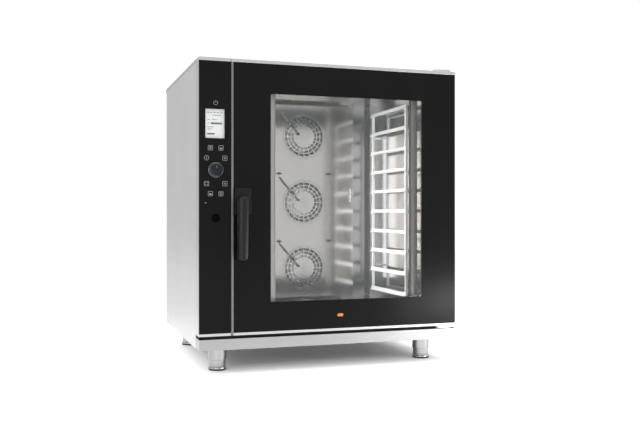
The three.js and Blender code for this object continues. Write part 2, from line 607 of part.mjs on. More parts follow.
add(door, 'door_stile_left', leftStile(), darkSteel);
add(door, 'door_stile_right', rightStile(), steel);
add(door, 'door_rail_top', topRail(), steel);
add(door, 'door_rail_bottom', bottomRail(), steel);
add(door, 'door_outer_glass', outerGlass(), clearGlass);
add(door, 'door_inner_glass', innerGlass(), clearGlass);
add(door, 'door_light_left', lightBar(-1), castAluminium);
add(door, 'door_light_right', lightBar(1), castAluminium);

// ---- hinges: a plate on the cabinet that carries the pin ----
function hingePlate(rear, corner, [low, high], [pinLow, pinHigh]) {
  const { x, y, pin } = HINGE;
  const { left, right, front } = HINGE_PLATE;
  const outline = roundedRectangle(x - left, x + right, y - front, rear, corner);
  return join(plateZ(outline, low, high, 4), rodZ(pin, x, y, pinLow, pinHigh));
}

const topPlate = [BODY_TOP + GAP, BODY_TOP + HINGE_PLATE.thick];
const topPin = [BODY_TOP - HINGE.depth + 2, BODY_TOP + 1];
const bottomPlate = [SEAM_HEIGHT + GAP, FRONT_LOW - GAP];
const bottomPin = [FRONT_LOW - 1, FRONT_LOW + HINGE.depth - 2];
const topHinge = hingePlate(HINGE_PLATE.rear, HINGE_PLATE.corner, topPlate, topPin);
const bottomHinge = hingePlate(FRAME_FRONT - GAP, HINGE_PLATE.lowerCorner, bottomPlate, bottomPin);
add(cabinet, 'hinge_plate_top', topHinge, steel);
add(cabinet, 'hinge_plate_bottom', bottomHinge, steel);

// ---- handle and latch ----
function handleBracket() {
  const plate = roundedRectangle(BRACKET.left, BRACKET.right, BRACKET.low, BRACKET.high,
    BRACKET.corner);
  return cut(plateY(plate, -BRACKET.thick, -GAP), rodY(HANDLE.spindle + 0.5, HANDLE.x, HANDLE.z, -20, 1));
}

// A lever that hangs from its spindle: a rounded bar in front and a neck back to the bracket.
function handleGrip() {
  const [x0, x1] = [HANDLE.x - HANDLE.width / 2, HANDLE.x + HANDLE.width / 2];
  const section = roundedRectangle(x0, x1, HANDLE.front, HANDLE.front + HANDLE.depth, GRIP_CORNER);
  const bar = plateZ(section, HANDLE.bottom, HANDLE.top, 4);
  const gripRear = HANDLE.front + HANDLE.depth;
  const neck = rodY(HANDLE_NECK, HANDLE.x, HANDLE.z, gripRear - 4, -BRACKET.thick - GAP, 28);
  const spindle = rodY(HANDLE.spindle, HANDLE.x, HANDLE.z, gripRear - 15, DOOR_DEPTH + GAP, 24);
  return join(bar, neck, spindle);
}

function latchHook() {
  const { left, right, half, thick } = LATCH;
  const { x, z } = HANDLE;
  const hook = roundedRectangle(x - left, x + right, z - half, z + half, half / 2);
  const front = DOOR_DEPTH + 2 * GAP;
  return plateY(hook, front, front + thick, 2);
}

const strikerPlate = roundedRectangle(STRIKER.left, STRIKER.right, STRIKER.low, STRIKER.high, 2);
add(door, 'handle_bracket', handleBracket(), blackPlastic);
add(door, 'handle_grip', handleGrip(), blackPlastic);
add(door, 'latch_hook', latchHook(), steel);
add(cabinet, 'door_striker', plateY(strikerPlate, DOOR_DEPTH + STRIKER.gap, FRAME_FRONT - GAP, 2), steel);

// ---- drip tray ----
function dripTray() {
  const { front, rear, low, high, lip } = TRAY;
  const shell = box(-SIDE, SIDE, front, rear, low, high);
  const trough = box(-SIDE + SHEET, SIDE - SHEET, front + SHEET, rear - SHEET, low + SHEET, high + 1);
  const backNotch = box(-SIDE - 1, SIDE + 1, rear - SHEET - 1, rear + 1, lip, high + 1);
  return cut(shell, trough, backNotch);
}

add(cabinet, 'drip_tray', dripTray(), steel);

// ---- feet ----
const footProfile = [
  [0, 0], [FOOT.base - 2, 0], [FOOT.base, 1.5], [FOOT.base, 7], [FOOT.shank, 9], [FOOT.shank, FOOT.top],
  [0, FOOT.top],
];
footPlaces.forEach(({ x, y }, index) => {
  add(cabinet, `foot_${index + 1}`, turnedZ(footProfile, x, y, 24), darkSteel);
});

oven.position.y = -MIDDLE_Y;

export default oven;
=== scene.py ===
"""Looks of the combi steamer oven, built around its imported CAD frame."""
import math

import bmesh
import bpy
from mathutils import Matrix, Vector


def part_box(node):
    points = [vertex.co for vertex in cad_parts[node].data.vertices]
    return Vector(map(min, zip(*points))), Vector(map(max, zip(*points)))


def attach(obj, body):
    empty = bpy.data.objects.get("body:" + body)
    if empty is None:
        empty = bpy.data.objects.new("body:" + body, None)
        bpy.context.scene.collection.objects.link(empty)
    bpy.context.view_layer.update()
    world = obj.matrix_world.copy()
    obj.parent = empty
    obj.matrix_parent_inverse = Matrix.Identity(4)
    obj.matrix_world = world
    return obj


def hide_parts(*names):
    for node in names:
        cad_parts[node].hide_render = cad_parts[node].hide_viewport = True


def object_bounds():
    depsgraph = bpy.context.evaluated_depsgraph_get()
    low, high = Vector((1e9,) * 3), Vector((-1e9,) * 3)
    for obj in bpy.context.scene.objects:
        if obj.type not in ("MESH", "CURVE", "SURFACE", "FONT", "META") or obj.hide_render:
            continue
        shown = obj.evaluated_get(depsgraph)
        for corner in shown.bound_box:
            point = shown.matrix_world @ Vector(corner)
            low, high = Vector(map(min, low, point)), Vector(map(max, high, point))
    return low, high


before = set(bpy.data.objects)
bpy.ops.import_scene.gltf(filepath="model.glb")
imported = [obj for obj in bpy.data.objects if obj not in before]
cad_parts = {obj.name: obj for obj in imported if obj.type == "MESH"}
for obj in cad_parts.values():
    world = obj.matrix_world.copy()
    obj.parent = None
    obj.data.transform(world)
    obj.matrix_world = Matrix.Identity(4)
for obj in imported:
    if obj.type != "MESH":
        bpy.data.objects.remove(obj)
cad_low, cad_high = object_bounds()

MM = 0.001
GLASS_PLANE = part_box("control_glass")[0].y      # front face of both panes
PRINT = (GLASS_PLANE - 0.12 * MM, GLASS_PLANE - 0.02 * MM)   # the layer of the printed signs
AXES = {                                        # a shape's own (u, v, w) axes laid along the frame's axes
    "x": Matrix(((0, 0, 1), (1, 0, 0), (0, 1, 0))).to_4x4(),
    "y": Matrix(((0, 1, 0), (0, 0, 1), (1, 0, 0))).to_4x4(),
    "z": Matrix.Identity(4),
}
WINDOW = (-223, 333, 237, 934)                  # clear part of the door pane: left, right, bottom, top
BADGE_PLACE = (24, 184)                         # x and height of the plaque
NUT_REACH, NUT_HEIGHTS = 105, (694, 422)        # wing nuts on the fan cover
DRAIN_DEPTH = 480                               # the drain's place behind the glass
HANDLE_PIVOT = (-327, 572)                      # x and height
HINGE_AXIS = (440, 25)                          # x and depth


def at(x, y, z):
    """A place in millimetres: from the centre line, behind the glass, above the floor."""
    return Vector((x * MM, GLASS_PLANE + y * MM, z * MM))


def centre_of(node):
    low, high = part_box(node)
    return (low + high) / 2


def front_of(node):
    """The middle of a node's front face."""
    place = centre_of(node)
    place.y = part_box(node)[0].y
    return place


def scaled(pairs):
    """Pairs in millimetres, turned into metres."""
    return [(u * MM, v * MM) for u, v in pairs]


# --- outlines
def arc(cu, cv, radius, start, end, steps):
    return [(cu + radius * math.cos(a), cv + radius * math.sin(a))
            for a in (start + (end - start) * k / steps for k in range(steps + 1))]


def circle(cu, cv, radius, steps=48):
    return arc(cu, cv, radius, 0, 2 * math.pi, steps)[:-1]


def rounded(u0, u1, v0, v1, radius, steps=6):
    """A rectangle with round corners."""
    corners = ((u1, v0, -0.5), (u1, v1, 0.0), (u0, v1, 0.5), (u0, v0, 1.0))
    loop = []
    for u, v, turn in corners:
        cu = u - radius if u == u1 else u + radius
        cv = v - radius if v == v1 else v + radius
        loop += arc(cu, cv, radius, turn * math.pi, (turn + 0.5) * math.pi, steps)
    return loop


def face_outline(low, high, radius, inset=0.0, steps=6):
    """The front outline of a box, set in from its edges."""
    return rounded(low.x + inset, high.x - inset, low.z + inset, high.z - inset, radius, steps)


# --- shapes
class Build:
    """Collects shapes into one mesh, which piece() turns into a named piece of the oven."""

    def __init__(self):
        self.mesh = bmesh.new()

    def _take(self, part, matrix, paint):
        part.transform(matrix)
        for polygon in part.polygons:
            polygon.material_index = paint
        self.mesh.from_mesh(part)
        bpy.data.meshes.remove(part)

    def _take_faces(self, faces, matrix, paint):
        solid = bpy.data.meshes.new("part")
        faces.to_mesh(solid)
        faces.free()
        self._take(solid, matrix, paint)
        return self

    def _take_curve(self, curve, matrix, paint):
        holder = bpy.data.objects.new("outline", curve)
        bpy.context.scene.collection.objects.link(holder)
        solid = bpy.data.meshes.new_from_object(holder.evaluated_get(bpy.context.evaluated_depsgraph_get()))
        bpy.data.objects.remove(holder)
        bpy.data.curves.remove(curve)
        self._take(solid, matrix, paint)
        return self

    def plate(self, loops, axis, low, high, edge=0.0, paint=0):
        """A flat plate across an axis: the first loop is its outline and the others are holes."""
        curve = bpy.data.curves.new("outline", "CURVE")
        curve.dimensions = "2D"
        curve.fill_mode = "BOTH"
        curve.extrude = (high - low) / 2 - edge
        curve.bevel_depth = edge
        curve.bevel_resolution = 1
        curve.offset = -edge
        for loop in loops:
            spline = curve.splines.new("POLY")
            spline.points.add(len(loop) - 1)
            for point, (u, v) in zip(spline.points, loop):
                point.co = (u, v, 0, 1)
            spline.use_cyclic_u = True
        shift = Vector((0, 0, 0))
        shift["xyz".index(axis)] = (low + high) / 2
        turn = AXES[axis]
        if axis == "y":                         # loops across Y are given as (x, z)
            turn = Matrix(((1, 0, 0), (0, 0, -1), (0, 1, 0))).to_4x4()
        return self._take_curve(curve, Matrix.Translation(shift) @ turn, paint)

    def tube(self, points, radius, sides=12, closed=False, paint=0):
        curve = bpy.data.curves.new("run", "CURVE")
        curve.dimensions = "3D"
        curve.bevel_depth = radius
        curve.bevel_resolution = max(1, sides // 4 - 1)
        curve.use_fill_caps = True
        spline = curve.splines.new("POLY")
        spline.points.add(len(points) - 1)
        for point, place in zip(spline.points, points):
            point.co = (*place, 1)
        spline.use_cyclic_u = closed
        return self._take_curve(curve, Matrix.Identity(4), paint)

    def block(self, low, high, edge=0.0, segments=2, paint=0):
        part = bmesh.new()
        bmesh.ops.create_cube(part, size=1)
        size = Vector(high) - Vector(low)
        bmesh.ops.scale(part, vec=size, verts=part.verts)
        bmesh.ops.translate(part, vec=(Vector(high) + Vector(low)) / 2, verts=part.verts)
        if edge:
            bmesh.ops.bevel(part, geom=part.edges[:], offset=edge, segments=segments, profile=0.5,
                            affect="EDGES")
        return self._take_faces(part, Matrix.Identity(4), paint)

    def turned(self, profile, centre, axis, segments=48, paint=0):
        """A solid of revolution, from (radius, distance along the axis) pairs."""
        part = bmesh.new()
        rings = []
        for radius, along in profile:
            ring = circle(0, 0, radius, segments)[:1 if radius < 1e-7 else segments]
            rings.append([part.verts.new((u, v, along)) for u, v in ring])
        for first, second in zip(rings, rings[1:]):
            for k in range(segments):
                corners = [first[k % len(first)], first[(k + 1) % len(first)],
                           second[(k + 1) % len(second)], second[k % len(second)]]
                unique = list(dict.fromkeys(corners))
                if len(unique) > 2:
                    part.faces.new(unique)
        return self._take_faces(part, Matrix.Translation(centre) @ AXES[axis], paint)

    def loft(self, rings, closed=False, paint=0):
        """Skins a row of rings that have the same number of points; a closed row joins its ends."""
        part = bmesh.new()
        rows = [[part.verts.new(p) for p in ring] for ring in rings]
        pairs = list(zip(rows, rows[1:])) + ([(rows[-1], rows[0])] if closed else [])
        for first, second in pairs:
            for k in range(len(first)):
                n = (k + 1) % len(first)
                part.faces.new((first[k], first[n], second[n], second[k]))
        if not closed:
            part.faces.new(rows[0][::-1])
            part.faces.new(rows[-1])
        return self._take_faces(part, Matrix.Identity(4), paint)

    def piece(self, name, finishes, slot, replaces=(), body="cabinet", sharp=35):
        bmesh.ops.remove_doubles(self.mesh, verts=self.mesh.verts, dist=2e-6)
        bmesh.ops.dissolve_degenerate(self.mesh, edges=self.mesh.edges, dist=1e-6)
        bmesh.ops.recalc_face_normals(self.mesh, faces=self.mesh.faces)
        data = bpy.data.meshes.new(name)
        self.mesh.to_mesh(data)
        self.mesh.free()
        for finish in finishes:
            data.materials.append(finish)
        for polygon in data.polygons:
            polygon.use_smooth = True
        data.set_sharp_from_angle(angle=math.radians(sharp))
        piece = bpy.data.objects.new(name, data)
        bpy.context.scene.collection.objects.link(piece)
        even = piece.modifiers.new("flat_faces", "WEIGHTED_NORMAL")
        even.keep_sharp = True
        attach(piece, body)
        if replaces:
            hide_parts(*replaces)
        return piece


# --- finishes
def map_range(tree, value, start, end, first, last, smooth=False):
    node = tree.nodes.new("ShaderNodeMapRange")
    if smooth:
        node.interpolation_type = "SMOOTHSTEP"
    for socket, number in (("From Min", start), ("From Max", end), ("To Min", first), ("To Max", last)):
        node.inputs[socket].default_value = number
    tree.links.new(value, node.inputs["Value"])
    return node.outputs["Result"]


class Finish:
    """A Principled material whose colour, roughness and bump come from procedural textures."""

    def __init__(self, name, color, metallic=0.0, roughness=0.5, **values):
        self.material = bpy.data.materials.new(name)
        self.material.use_nodes = True
        self.nodes = self.material.node_tree.nodes
        self.links = self.material.node_tree.links
        self.shader = self.nodes["Principled BSDF"]
        self.shader.inputs["Base Color"].default_value = (*color, 1)
        self.shader.inputs["Metallic"].default_value = metallic
        self.shader.inputs["Roughness"].default_value = roughness
        for socket, value in values.items():
            self.shader.inputs[socket.replace("_", " ")].default_value = value
        self.place = self.nodes.new("ShaderNodeTexCoord").outputs["Object"]

    def noise(self, scale, detail=3.0, rough=0.5):
        """Noise with its own scale along X, Y and Z, in cycles per metre."""
        mapping = self.nodes.new("ShaderNodeMapping")
        mapping.inputs["Scale"].default_value = scale
        self.links.new(self.place, mapping.inputs["Vector"])
        noise = self.nodes.new("ShaderNodeTexNoise")
        noise.inputs["Scale"].default_value = 1.0
        noise.inputs["Detail"].default_value = detail
        noise.inputs["Roughness"].default_value = rough
        self.links.new(mapping.outputs["Vector"], noise.inputs["Vector"])
        return noise.outputs["Fac"]

    def spread(self, value, low, high):
        return map_range(self, value, 0.3, 0.7, low, high)

    def vary_color(self, value, dark, light):
        mix = self.nodes.new("ShaderNodeMix")
        mix.data_type = "RGBA"
        mix.inputs[6].default_value = (*dark, 1)
        mix.inputs[7].default_value = (*light, 1)
        self.links.new(self.spread(value, 0.0, 1.0), mix.inputs[0])
        self.links.new(mix.outputs[2], self.shader.inputs["Base Color"])
        return self

    def vary_roughness(self, value, low, high):
        self.links.new(self.spread(value, low, high), self.shader.inputs["Roughness"])
        return self

    def bump(self, value, distance, strength=1.0):
        bump = self.nodes.new("ShaderNodeBump")
        bump.inputs["Distance"].default_value = distance
        bump.inputs["Strength"].default_value = strength
        self.links.new(value, bump.inputs["Height"])
        self.links.new(bump.outputs["Normal"], self.shader.inputs["Normal"])
        return self


def grey(level, warmth=0.0):
    return (level * (1 + warmth), level, level * (1 - warmth))


def brushed(name, grain, level, roughness=0.30, warmth=0.0):
    """Satin stainless steel with its grain running along one axis."""
    fine = [900.0, 900.0, 900.0]
    fine["xyz".index(grain)] = 14.0
    finish = Finish(name, grey(level, warmth), 1.0, roughness)
    lines = finish.noise(fine, 4.0, 0.6)
    cloud = finish.noise((3.0, 3.0, 3.0), 2.0)
    finish.vary_color(cloud, grey(level * 0.96, warmth), grey(level * 1.03, warmth))
    finish.vary_roughness(lines, roughness - 0.06, roughness + 0.08)
    finish.bump(lines, 0.00004, 0.5)
    return finish.material


def polished(name, level, roughness, warmth=0.0, metallic=1.0, wave_depth=0.00005):
    """Bright rolled steel: nearly a mirror, with a faint waviness and rolling lines."""
    finish = Finish(name, grey(level, warmth), metallic, roughness)
    wave = finish.noise((2.2, 2.2, 1.4), 1.0)
    lines = finish.noise((700.0, 60.0, 9.0), 3.0, 0.6)
    finish.vary_color(wave, grey(level * 0.97, warmth), grey(level * 1.02, warmth))
    finish.vary_roughness(lines, roughness - 0.03, roughness + 0.04)
    finish.bump(wave, wave_depth, 0.5)
    return finish.material


def moulded(name, color, roughness=0.45, shine=0.5, grain=900.0, depth=0.00006):
    """Moulded plastic or rubber with a fine leathery grain."""
    finish = Finish(name, color, 0.0, roughness, Specular_IOR_Level=shine)
    pores = finish.noise((grain, grain, grain), 2.0)
    wear = finish.noise((18.0, 18.0, 18.0), 3.0)
    light = tuple(c * 1.25 + 0.0005 for c in color)
    finish.vary_color(wear, color, light)
    finish.vary_roughness(wear, roughness - 0.07, roughness + 0.07)
    finish.bump(pores, depth, 0.6)
    return finish.material


def glass_black():
    finish = Finish("printed_black_glass", grey(0.0030), 0.0, 0.22, Specular_IOR_Level=0.115)
    film = finish.noise((7.0, 7.0, 4.0), 3.0)
    finish.vary_color(film, grey(0.0026), grey(0.0034))
    finish.vary_roughness(film, 0.20, 0.25)
    return finish.material


def glass_clear():
    finish = Finish("clear_pane", (0.20, 0.22, 0.215), 0.0, 0.03, Alpha=0.08)
    film = finish.noise((5.0, 5.0, 3.0), 3.0)
    finish.vary_roughness(film, 0.02, 0.06)
    finish.vary_color(film, (0.18, 0.20, 0.195), (0.23, 0.25, 0.245))
    return finish.material


def glow(name, color, strength):
    finish = Finish(name, color, 0.0, 0.35)
    finish.shader.inputs["Emission Color"].default_value = (*color, 1)
    finish.shader.inputs["Emission Strength"].default_value = strength
    finish.vary_roughness(finish.noise((60.0, 60.0, 60.0)), 0.3, 0.42)
    return finish.material


def printed(name, color):
    finish = Finish(name, color, 0.0, 0.5)
    cells = finish.noise((500.0, 500.0, 500.0), 2.0)
    return finish.vary_color(cells, tuple(c * 0.9 for c in color), color).material


STEEL_X = brushed("satin_steel_x", "x", 0.50)
STEEL_Y = brushed("satin_steel_y", "y", 0.60, 0.34)
STEEL_Z = brushed("satin_steel_z", "z", 0.56)
TRIM = brushed("trim_profile", "z", 0.19, 0.38)
MIRROR = polished("polished_cover", 0.66, 0.13, 0.06)
LINER = polished("polished_cavity", 0.58, 0.12, 0.01, wave_depth=0.00010)
RACK_STEEL = polished("polished_rack", 0.92, 0.30, metallic=0.25, wave_depth=0.00002)
PIPE_STEEL = polished("polished_pipe", 0.45, 0.20)
DARK_STEEL = brushed("dark_turned_steel", "y", 0.20, 0.34, 0.01)
# the drip tray's satin steel, a darker copy of the front steel: painted shade for the dim floor its face
# reflects
TRAY_PAINTED_SHADE = brushed("painted_shade_tray_steel", "x", 0.355)
# a near-black steel that paints shade into the cavity's rear corners
PAINTED_CORNER_SHADE_STEEL = brushed("painted_corner_shade_steel", "z", 0.10, 0.45)
NUT_STEEL = brushed("wing_nut_steel", "x", 0.10, 0.35)
HUB_STEEL = polished("fan_hub_steel", 0.80, 0.32, 0.01, 0.5, 0.00002)
FOOT_STEEL = brushed("turned_foot_steel", "x", 0.34, 0.17)
BLACK_GLASS = glass_black()
CLEAR_GLASS = glass_clear()
PLASTIC = moulded("black_plastic", (0.022, 0.022, 0.023))
PORT_BLACK = moulded("port_plastic", (0.0008, 0.0008, 0.0008), 0.8, 0.04)
HANDLE_PLASTIC = moulded("handle_plastic", (0.0015, 0.0015, 0.0017), 0.34, 0.26, depth=0.00004)
MOUNT_PLASTIC = moulded("mount_plastic", (0.004, 0.004, 0.0043), 0.38, 0.18, depth=0.00004)
KNOB_PLASTIC = moulded("knob_plastic", (0.004, 0.006, 0.009), 0.25, 0.24, 1200.0, 0.00002)
KNOB_RIM = moulded("knob_rim", (0.008, 0.011, 0.014), 0.26, 0.75, 1200.0, 0.00001)
RUBBER = moulded("foot_rubber", (0.012, 0.012, 0.012), 0.7)
SEAL_BLACK = moulded("door_sweep_rubber", (0.004, 0.004, 0.004), 0.7, 0.2)
SILICONE = moulded("seal_silicone", (0.045, 0.045, 0.047), 0.55)
SCREEN = glow("display_screen", (0.62, 0.63, 0.63), 0.18)
SCREEN_INK = printed("display_ink", (0.14, 0.15, 0.16))
SCREEN_BAR = printed("display_bar", (0.09, 0.10, 0.11))
ICON_INK = printed("icon_ink", (0.22, 0.225, 0.23))
HEATER = moulded("heater_tube", (0.05, 0.04, 0.035), 0.5)
CASTING = moulded("cast_aluminium", (0.23, 0.23, 0.24), 0.5, grain=500.0, depth=0.0002)
BOARD = moulded("circuit_board", (0.02, 0.11, 0.045), 0.5)
BRASS = brushed("turned_brass", "x", 0.5, warmth=0.35)
BAR_METAL = brushed("light_bar_profile", "z", 0.25, 0.45, 0.09)
# a lighter copy of the light bar steel that paints a sheen onto the left light bar's face
BAR_PAINTED_SHEEN = brushed("painted_sheen_bar_face", "z", 0.35, 0.45, 0.03)
DIFFUSER = glow("light_bar_lens", (0.85, 0.84, 0.80), 0.6)
BADGE = moulded("badge_enamel", (0.50, 0.13, 0.03), 0.35)


# --- carried-over CAD nodes
def keep(node, finish, edge):
    """A CAD node that stays: it gets its finish, and its sheet edges are slightly broken."""
    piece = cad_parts[node]
    piece.data.materials.clear()
    piece.data.materials.append(finish)
    if edge:
        weld = piece.modifiers.new("weld", "WELD")
        weld.merge_threshold = 1e-5
        bevel = piece.modifiers.new("edges", "BEVEL")
        bevel.width = edge
        bevel.segments = 2
        bevel.limit_method = "ANGLE"
        bevel.angle_limit = math.radians(50)
        bevel.harden_normals = False


KEPT = (
    (STEEL_Y, "steel_satin", 0.0006, "side_panel_left side_panel_right"),
    (STEEL_X, "steel_satin", 0.0006,
     "top_cover control_column door_rail_top door_rail_bottom hinge_plate_bottom"),
    (STEEL_X, "steel_satin", 0.0003, "latch_hook door_striker"),
    (STEEL_Y, "steel_satin", 0.0, "encoder_shaft"),
    (STEEL_Z, "steel_satin", 0.0006, "rear_panel front_frame door_stile_right"),
    (TRAY_PAINTED_SHADE, "steel_satin", 0.0006, "drip_tray"),
    (TRIM, "trim_steel", 0.0008, "door_stile_left"),
    (BOARD, "circuit_board", 0.0, "control_board"),
    (LINER, "steel_polished", 0.0,
     "cavity_left_wall cavity_right_wall cavity_ceiling cavity_floor cavity_back_wall"),
    (CASTING, "cast_aluminium", 0.001, "fan_motor_1 fan_motor_2 fan_motor_3"),
)


def casing():
    for finish, slot, edge, nodes in KEPT:
        for node in nodes.split():
            keep(node, finish, edge)


def base():
    low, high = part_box("base_frame")
    sheet = 1.5 * MM
    plate_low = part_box("side_panel_left")[0].z + 1.8 * MM
    build = Build()
    build.block((low.x, low.y, plate_low), (high.x, high.y, plate_low + sheet), 0.0004)
    build.block((low.x, low.y, plate_low), (high.x, low.y + sheet, high.z), 0.0004)
    radius, bore, rim = 31 * MM, 29.2 * MM, 0.8 * MM
    top = plate_low + 0.0005
    socket = [(bore, top), (bore, low.z + rim), (bore + rim, low.z), (radius - rim, low.z),
              (radius, low.z + rim), (radius, top), (bore, top)]
    for number in (1, 2, 3, 4):
        centre = centre_of(f"foot_{number}")
        build.turned(socket, (centre.x, centre.y, 0), "z", 64)
    build.piece("base_frame_sheet", [FOOT_STEEL], "steel_satin", ["base_frame"])


def foot(number):
    """A turned steel foot, nearly a plain cylinder, on a black rubber rim that meets the floor."""
    low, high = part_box(f"foot_{number}")
    centre = centre_of(f"foot_{number}")
    centre.z = 0
    flange, shank, top = (high.x - low.x) / 2 / MM, 28.4, 67
    steel = [(0, 5.2), (flange - 0.6, 5.2), (flange, 5.8), (flange, 9.4), (flange - 0.7, 10.4), (shank, 11.6),
             (shank, 15), (shank - 0.5, 15.4), (shank - 0.5, 16.6), (shank, 17), (shank, top), (0, top)]
    rubber = [(0, 0), (flange - 2.2, 0), (flange - 0.6, 0.8), (flange - 0.1, 2.2), (flange - 0.1, 4.4),
              (flange - 0.8, 5.1), (0, 5.1)]
    build = Build()
    build.turned(scaled(steel), centre, "z", 72)
    build.turned(scaled(rubber), centre, "z", 72, 1)
    build.piece(f"levelling_foot_{number}", [FOOT_STEEL, RUBBER], "foot_steel", [f"foot_{number}"],
                f"foot_body_{number}")


# --- panes
def pane(name, node, body, window):
    """Toughened glass: printed black, with a clear window and a ground edge."""
    low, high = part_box(node)
    outline = face_outline(low, high, 2 * MM)
    build = Build()
    build.plate([outline, window], "y", low.y, high.y, 0.0006)
    build.plate([window], "y", low.y + 2e-5, high.y - 2e-5, 0.0, 1)
    build.piece(name, [BLACK_GLASS, CLEAR_GLASS], "black_glass", [node], body)


def cavity_middle():
    return (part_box("cavity_left_wall")[1].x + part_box("cavity_right_wall")[0].x) / 2


def door():
    left, right, bottom, top = WINDOW
    window = face_outline(at(left, 0, bottom), at(right, 0, top), 3 * MM)
    pane("door_pane_outer", "door_outer_glass", "door", window)
    low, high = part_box("door_inner_glass")
    inner = Build().plate([face_outline(low, high, 3 * MM)], "y", low.y, high.y, 0.0006)
    inner.piece("door_pane_inner", [CLEAR_GLASS], "clear_glass", ["door_inner_glass"], "door")
    badge()
    door_sweep()
    for side in ("left", "right"):
        light_bar(side)


def badge():
    """A plain blank plaque under the window."""
    centre = at(BADGE_PLACE[0], 0, BADGE_PLACE[1])
    half = Vector((11, 0, 5)) * MM
    build = Build()
    build.plate([face_outline(centre - half, centre + half, 4.9 * MM)], "y", centre.y - 0.8 * MM,
                centre.y - 0.05 * MM, 0.0003)
    build.piece("door_badge_blank", [BADGE], "black_plastic", body="door")


def door_sweep():
    """A rubber lip along the door's lower edge, and its fixed run under the column and round the corner."""
    bottom, top = at(0, 0, 121.6).z, at(0, 0, 129.2).z
    front, back = at(0, 5, 0).y, at(0, 13, 0).y
    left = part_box("door_rail_bottom")[0].x
    right = at(386, 0, 0).x
    build = Build()
    build.block((left, front, bottom), (right, back, top), 0.0015, 3)
    build.piece("door_sweep_seal", [SEAL_BLACK], "gasket_rubber", body="door")
    edge = at(-463, 0, 0).x
    corner = Build()
    corner.block((edge, front, bottom), (left - 0.6 * MM, back, top), 0.0015, 3)
    corner.block((edge, front, bottom), (edge + 8 * MM, at(0, 62, 0).y, top), 0.0015, 3)
    corner.piece("column_seal", [SEAL_BLACK], "gasket_rubber")


def light_bar(side):
    """An upright lamp between the panes, with end caps and a lens towards the cavity."""
    low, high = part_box(f"door_light_{side}")
    cap, edge, gap = 7 * MM, 3.5 * MM, 0.1 * MM
    right = side == "right"
    inner = (low.x, low.x + edge) if right else (high.x - edge, high.x)
    face = (inner[1] + gap, high.x) if right else (low.x, inner[0] - gap)
    lens = (low.x + 5 * MM, high.x - 5 * MM) if right else inner
    front = (low.y, high.y - 3.1 * MM)
    build = Build()
    # the left bar's face takes paint 3, the lighter copy of the bar steel that paints a sheen on it; the
    # right bar's face keeps the plain bar steel
    for (x0, x1), (y0, y1), end, bevel, segments, paint in (
            (face, front, cap, 0.0012, 3, 0 if right else 3),
            (inner, front, cap, 0.0008, 2, 2 if right else 0),
            (lens, (high.y - 3 * MM, high.y), 2 * cap, 0.0008, 2, 1)):
        build.block((x0, y0, low.z + end), (x1, y1, high.z - end), bevel, segments, paint)
    for z0, z1 in ((low.z, low.z + cap), (high.z - cap, high.z)):
        build.block((low.x, low.y, z0), (high.x, high.y, z1), 0.0015, 3, 2)
    build.piece(f"door_light_bar_{side}", [BAR_METAL, DIFFUSER, PLASTIC, BAR_PAINTED_SHEEN], "light_bar",
                [f"door_light_{side}"], "door")


def gasket():
    """A hollow bulb seal around the mouth of the cavity."""
    low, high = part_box("door_gasket")
    width, corner = 12 * MM, 22 * MM
    depth = high.y - low.y
    section = [(0.0, 0.0), (0.0, 0.35), (0.12, 0.8), (0.32, 1.0), (0.55, 1.0), (0.75, 0.8), (0.88, 0.4),
               (1.0, 0.15), (1.0, 0.0)]
    rings = []
    for across, out in section:
        margin = width * across
        loop = face_outline(low, high, corner - margin, margin, 8)
        rings.append([Vector((x, high.y - depth * out, z)) for x, z in loop])
    Build().loft(rings, closed=True).piece("door_seal", [SILICONE], "gasket_rubber", ["door_gasket"],
                                           sharp=60)


# --- control column
SIGNS = {                                       # bars inside each sign: u from, to, v from, to, in half sizes
    "bars": [(-0.55, 0.55, v - 0.1, v + 0.1) for v in (-0.45, 0.0, 0.45)],
    "cross": [(-0.5, 0.5, -0.12, 0.12), (-0.12, 0.12, -0.5, 0.5)],
    "dots": [(u - 0.17, u + 0.17, v - 0.17, v + 0.17) for u in (-0.4, 0.4) for v in (-0.4, 0.4)],
    "block": [(-0.5, 0.5, -0.5, 0.1)],
    "ring": [(-0.12, 0.12, -0.4, 0.4)],
    "power": [(-0.09, 0.09, 0.25, 1.1)],
}


def icon(build, x, z, kind):
    """A small generic sign printed on the glass."""
    size = (7.4 if kind == "power" else 8.0) * MM
    stroke = 1.25 * MM
    if kind == "ring":
        build.plate([circle(x, z, size, 28), circle(x, z, size - stroke, 28)], "y", *PRINT)
    elif kind == "power":
        start, end = 2.2, 2.2 + 5.2
        build.plate([arc(x, z, size, start, end, 24) + arc(x, z, size - stroke, end, start, 24)], "y", *PRINT)
    else:
        build.plate([rounded(x - half, x + half, z - half, z + half, corner * MM, 3)
                     for half, corner in ((size, 2.4), (size - stroke, 1.4))], "y", *PRINT)
    for u0, u1, v0, v1 in SIGNS[kind]:
        bar = rounded(x + u0 * size, x + u1 * size, z + v0 * size, z + v1 * size, 0.2 * MM, 2)
        build.plate([bar], "y", *PRINT)


def control_panel():
    low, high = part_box("display")
    window = face_outline(low, high, 1.5 * MM, 2 * MM)
    pane("control_pane", "control_glass", "cabinet", window)
    dial = centre_of("control_knob")
    cx, cz = dial.x, dial.z - 3 * MM
    signs = Build()
    places = [(17.5, 75, "bars", "block"), (30.5, 42, "ring", "cross"), (30.5, -42, "dots", "cross"),
              (17.5, -75, "block", "bars")]
    for dx, dz, left, right in places:
        icon(signs, cx - dx * MM, cz + dz * MM, left)
        icon(signs, cx + dx * MM, cz + dz * MM, right)
    icon(signs, cx, cz + 223 * MM, "power")
    dash = rounded(cx - 37 * MM, cx - 30 * MM, cz - 106 * MM, cz - 104.4 * MM, 0.5 * MM, 2)
    signs.plate([dash], "y", *PRINT)
    signs.piece("control_signs", [ICON_INK], "display")


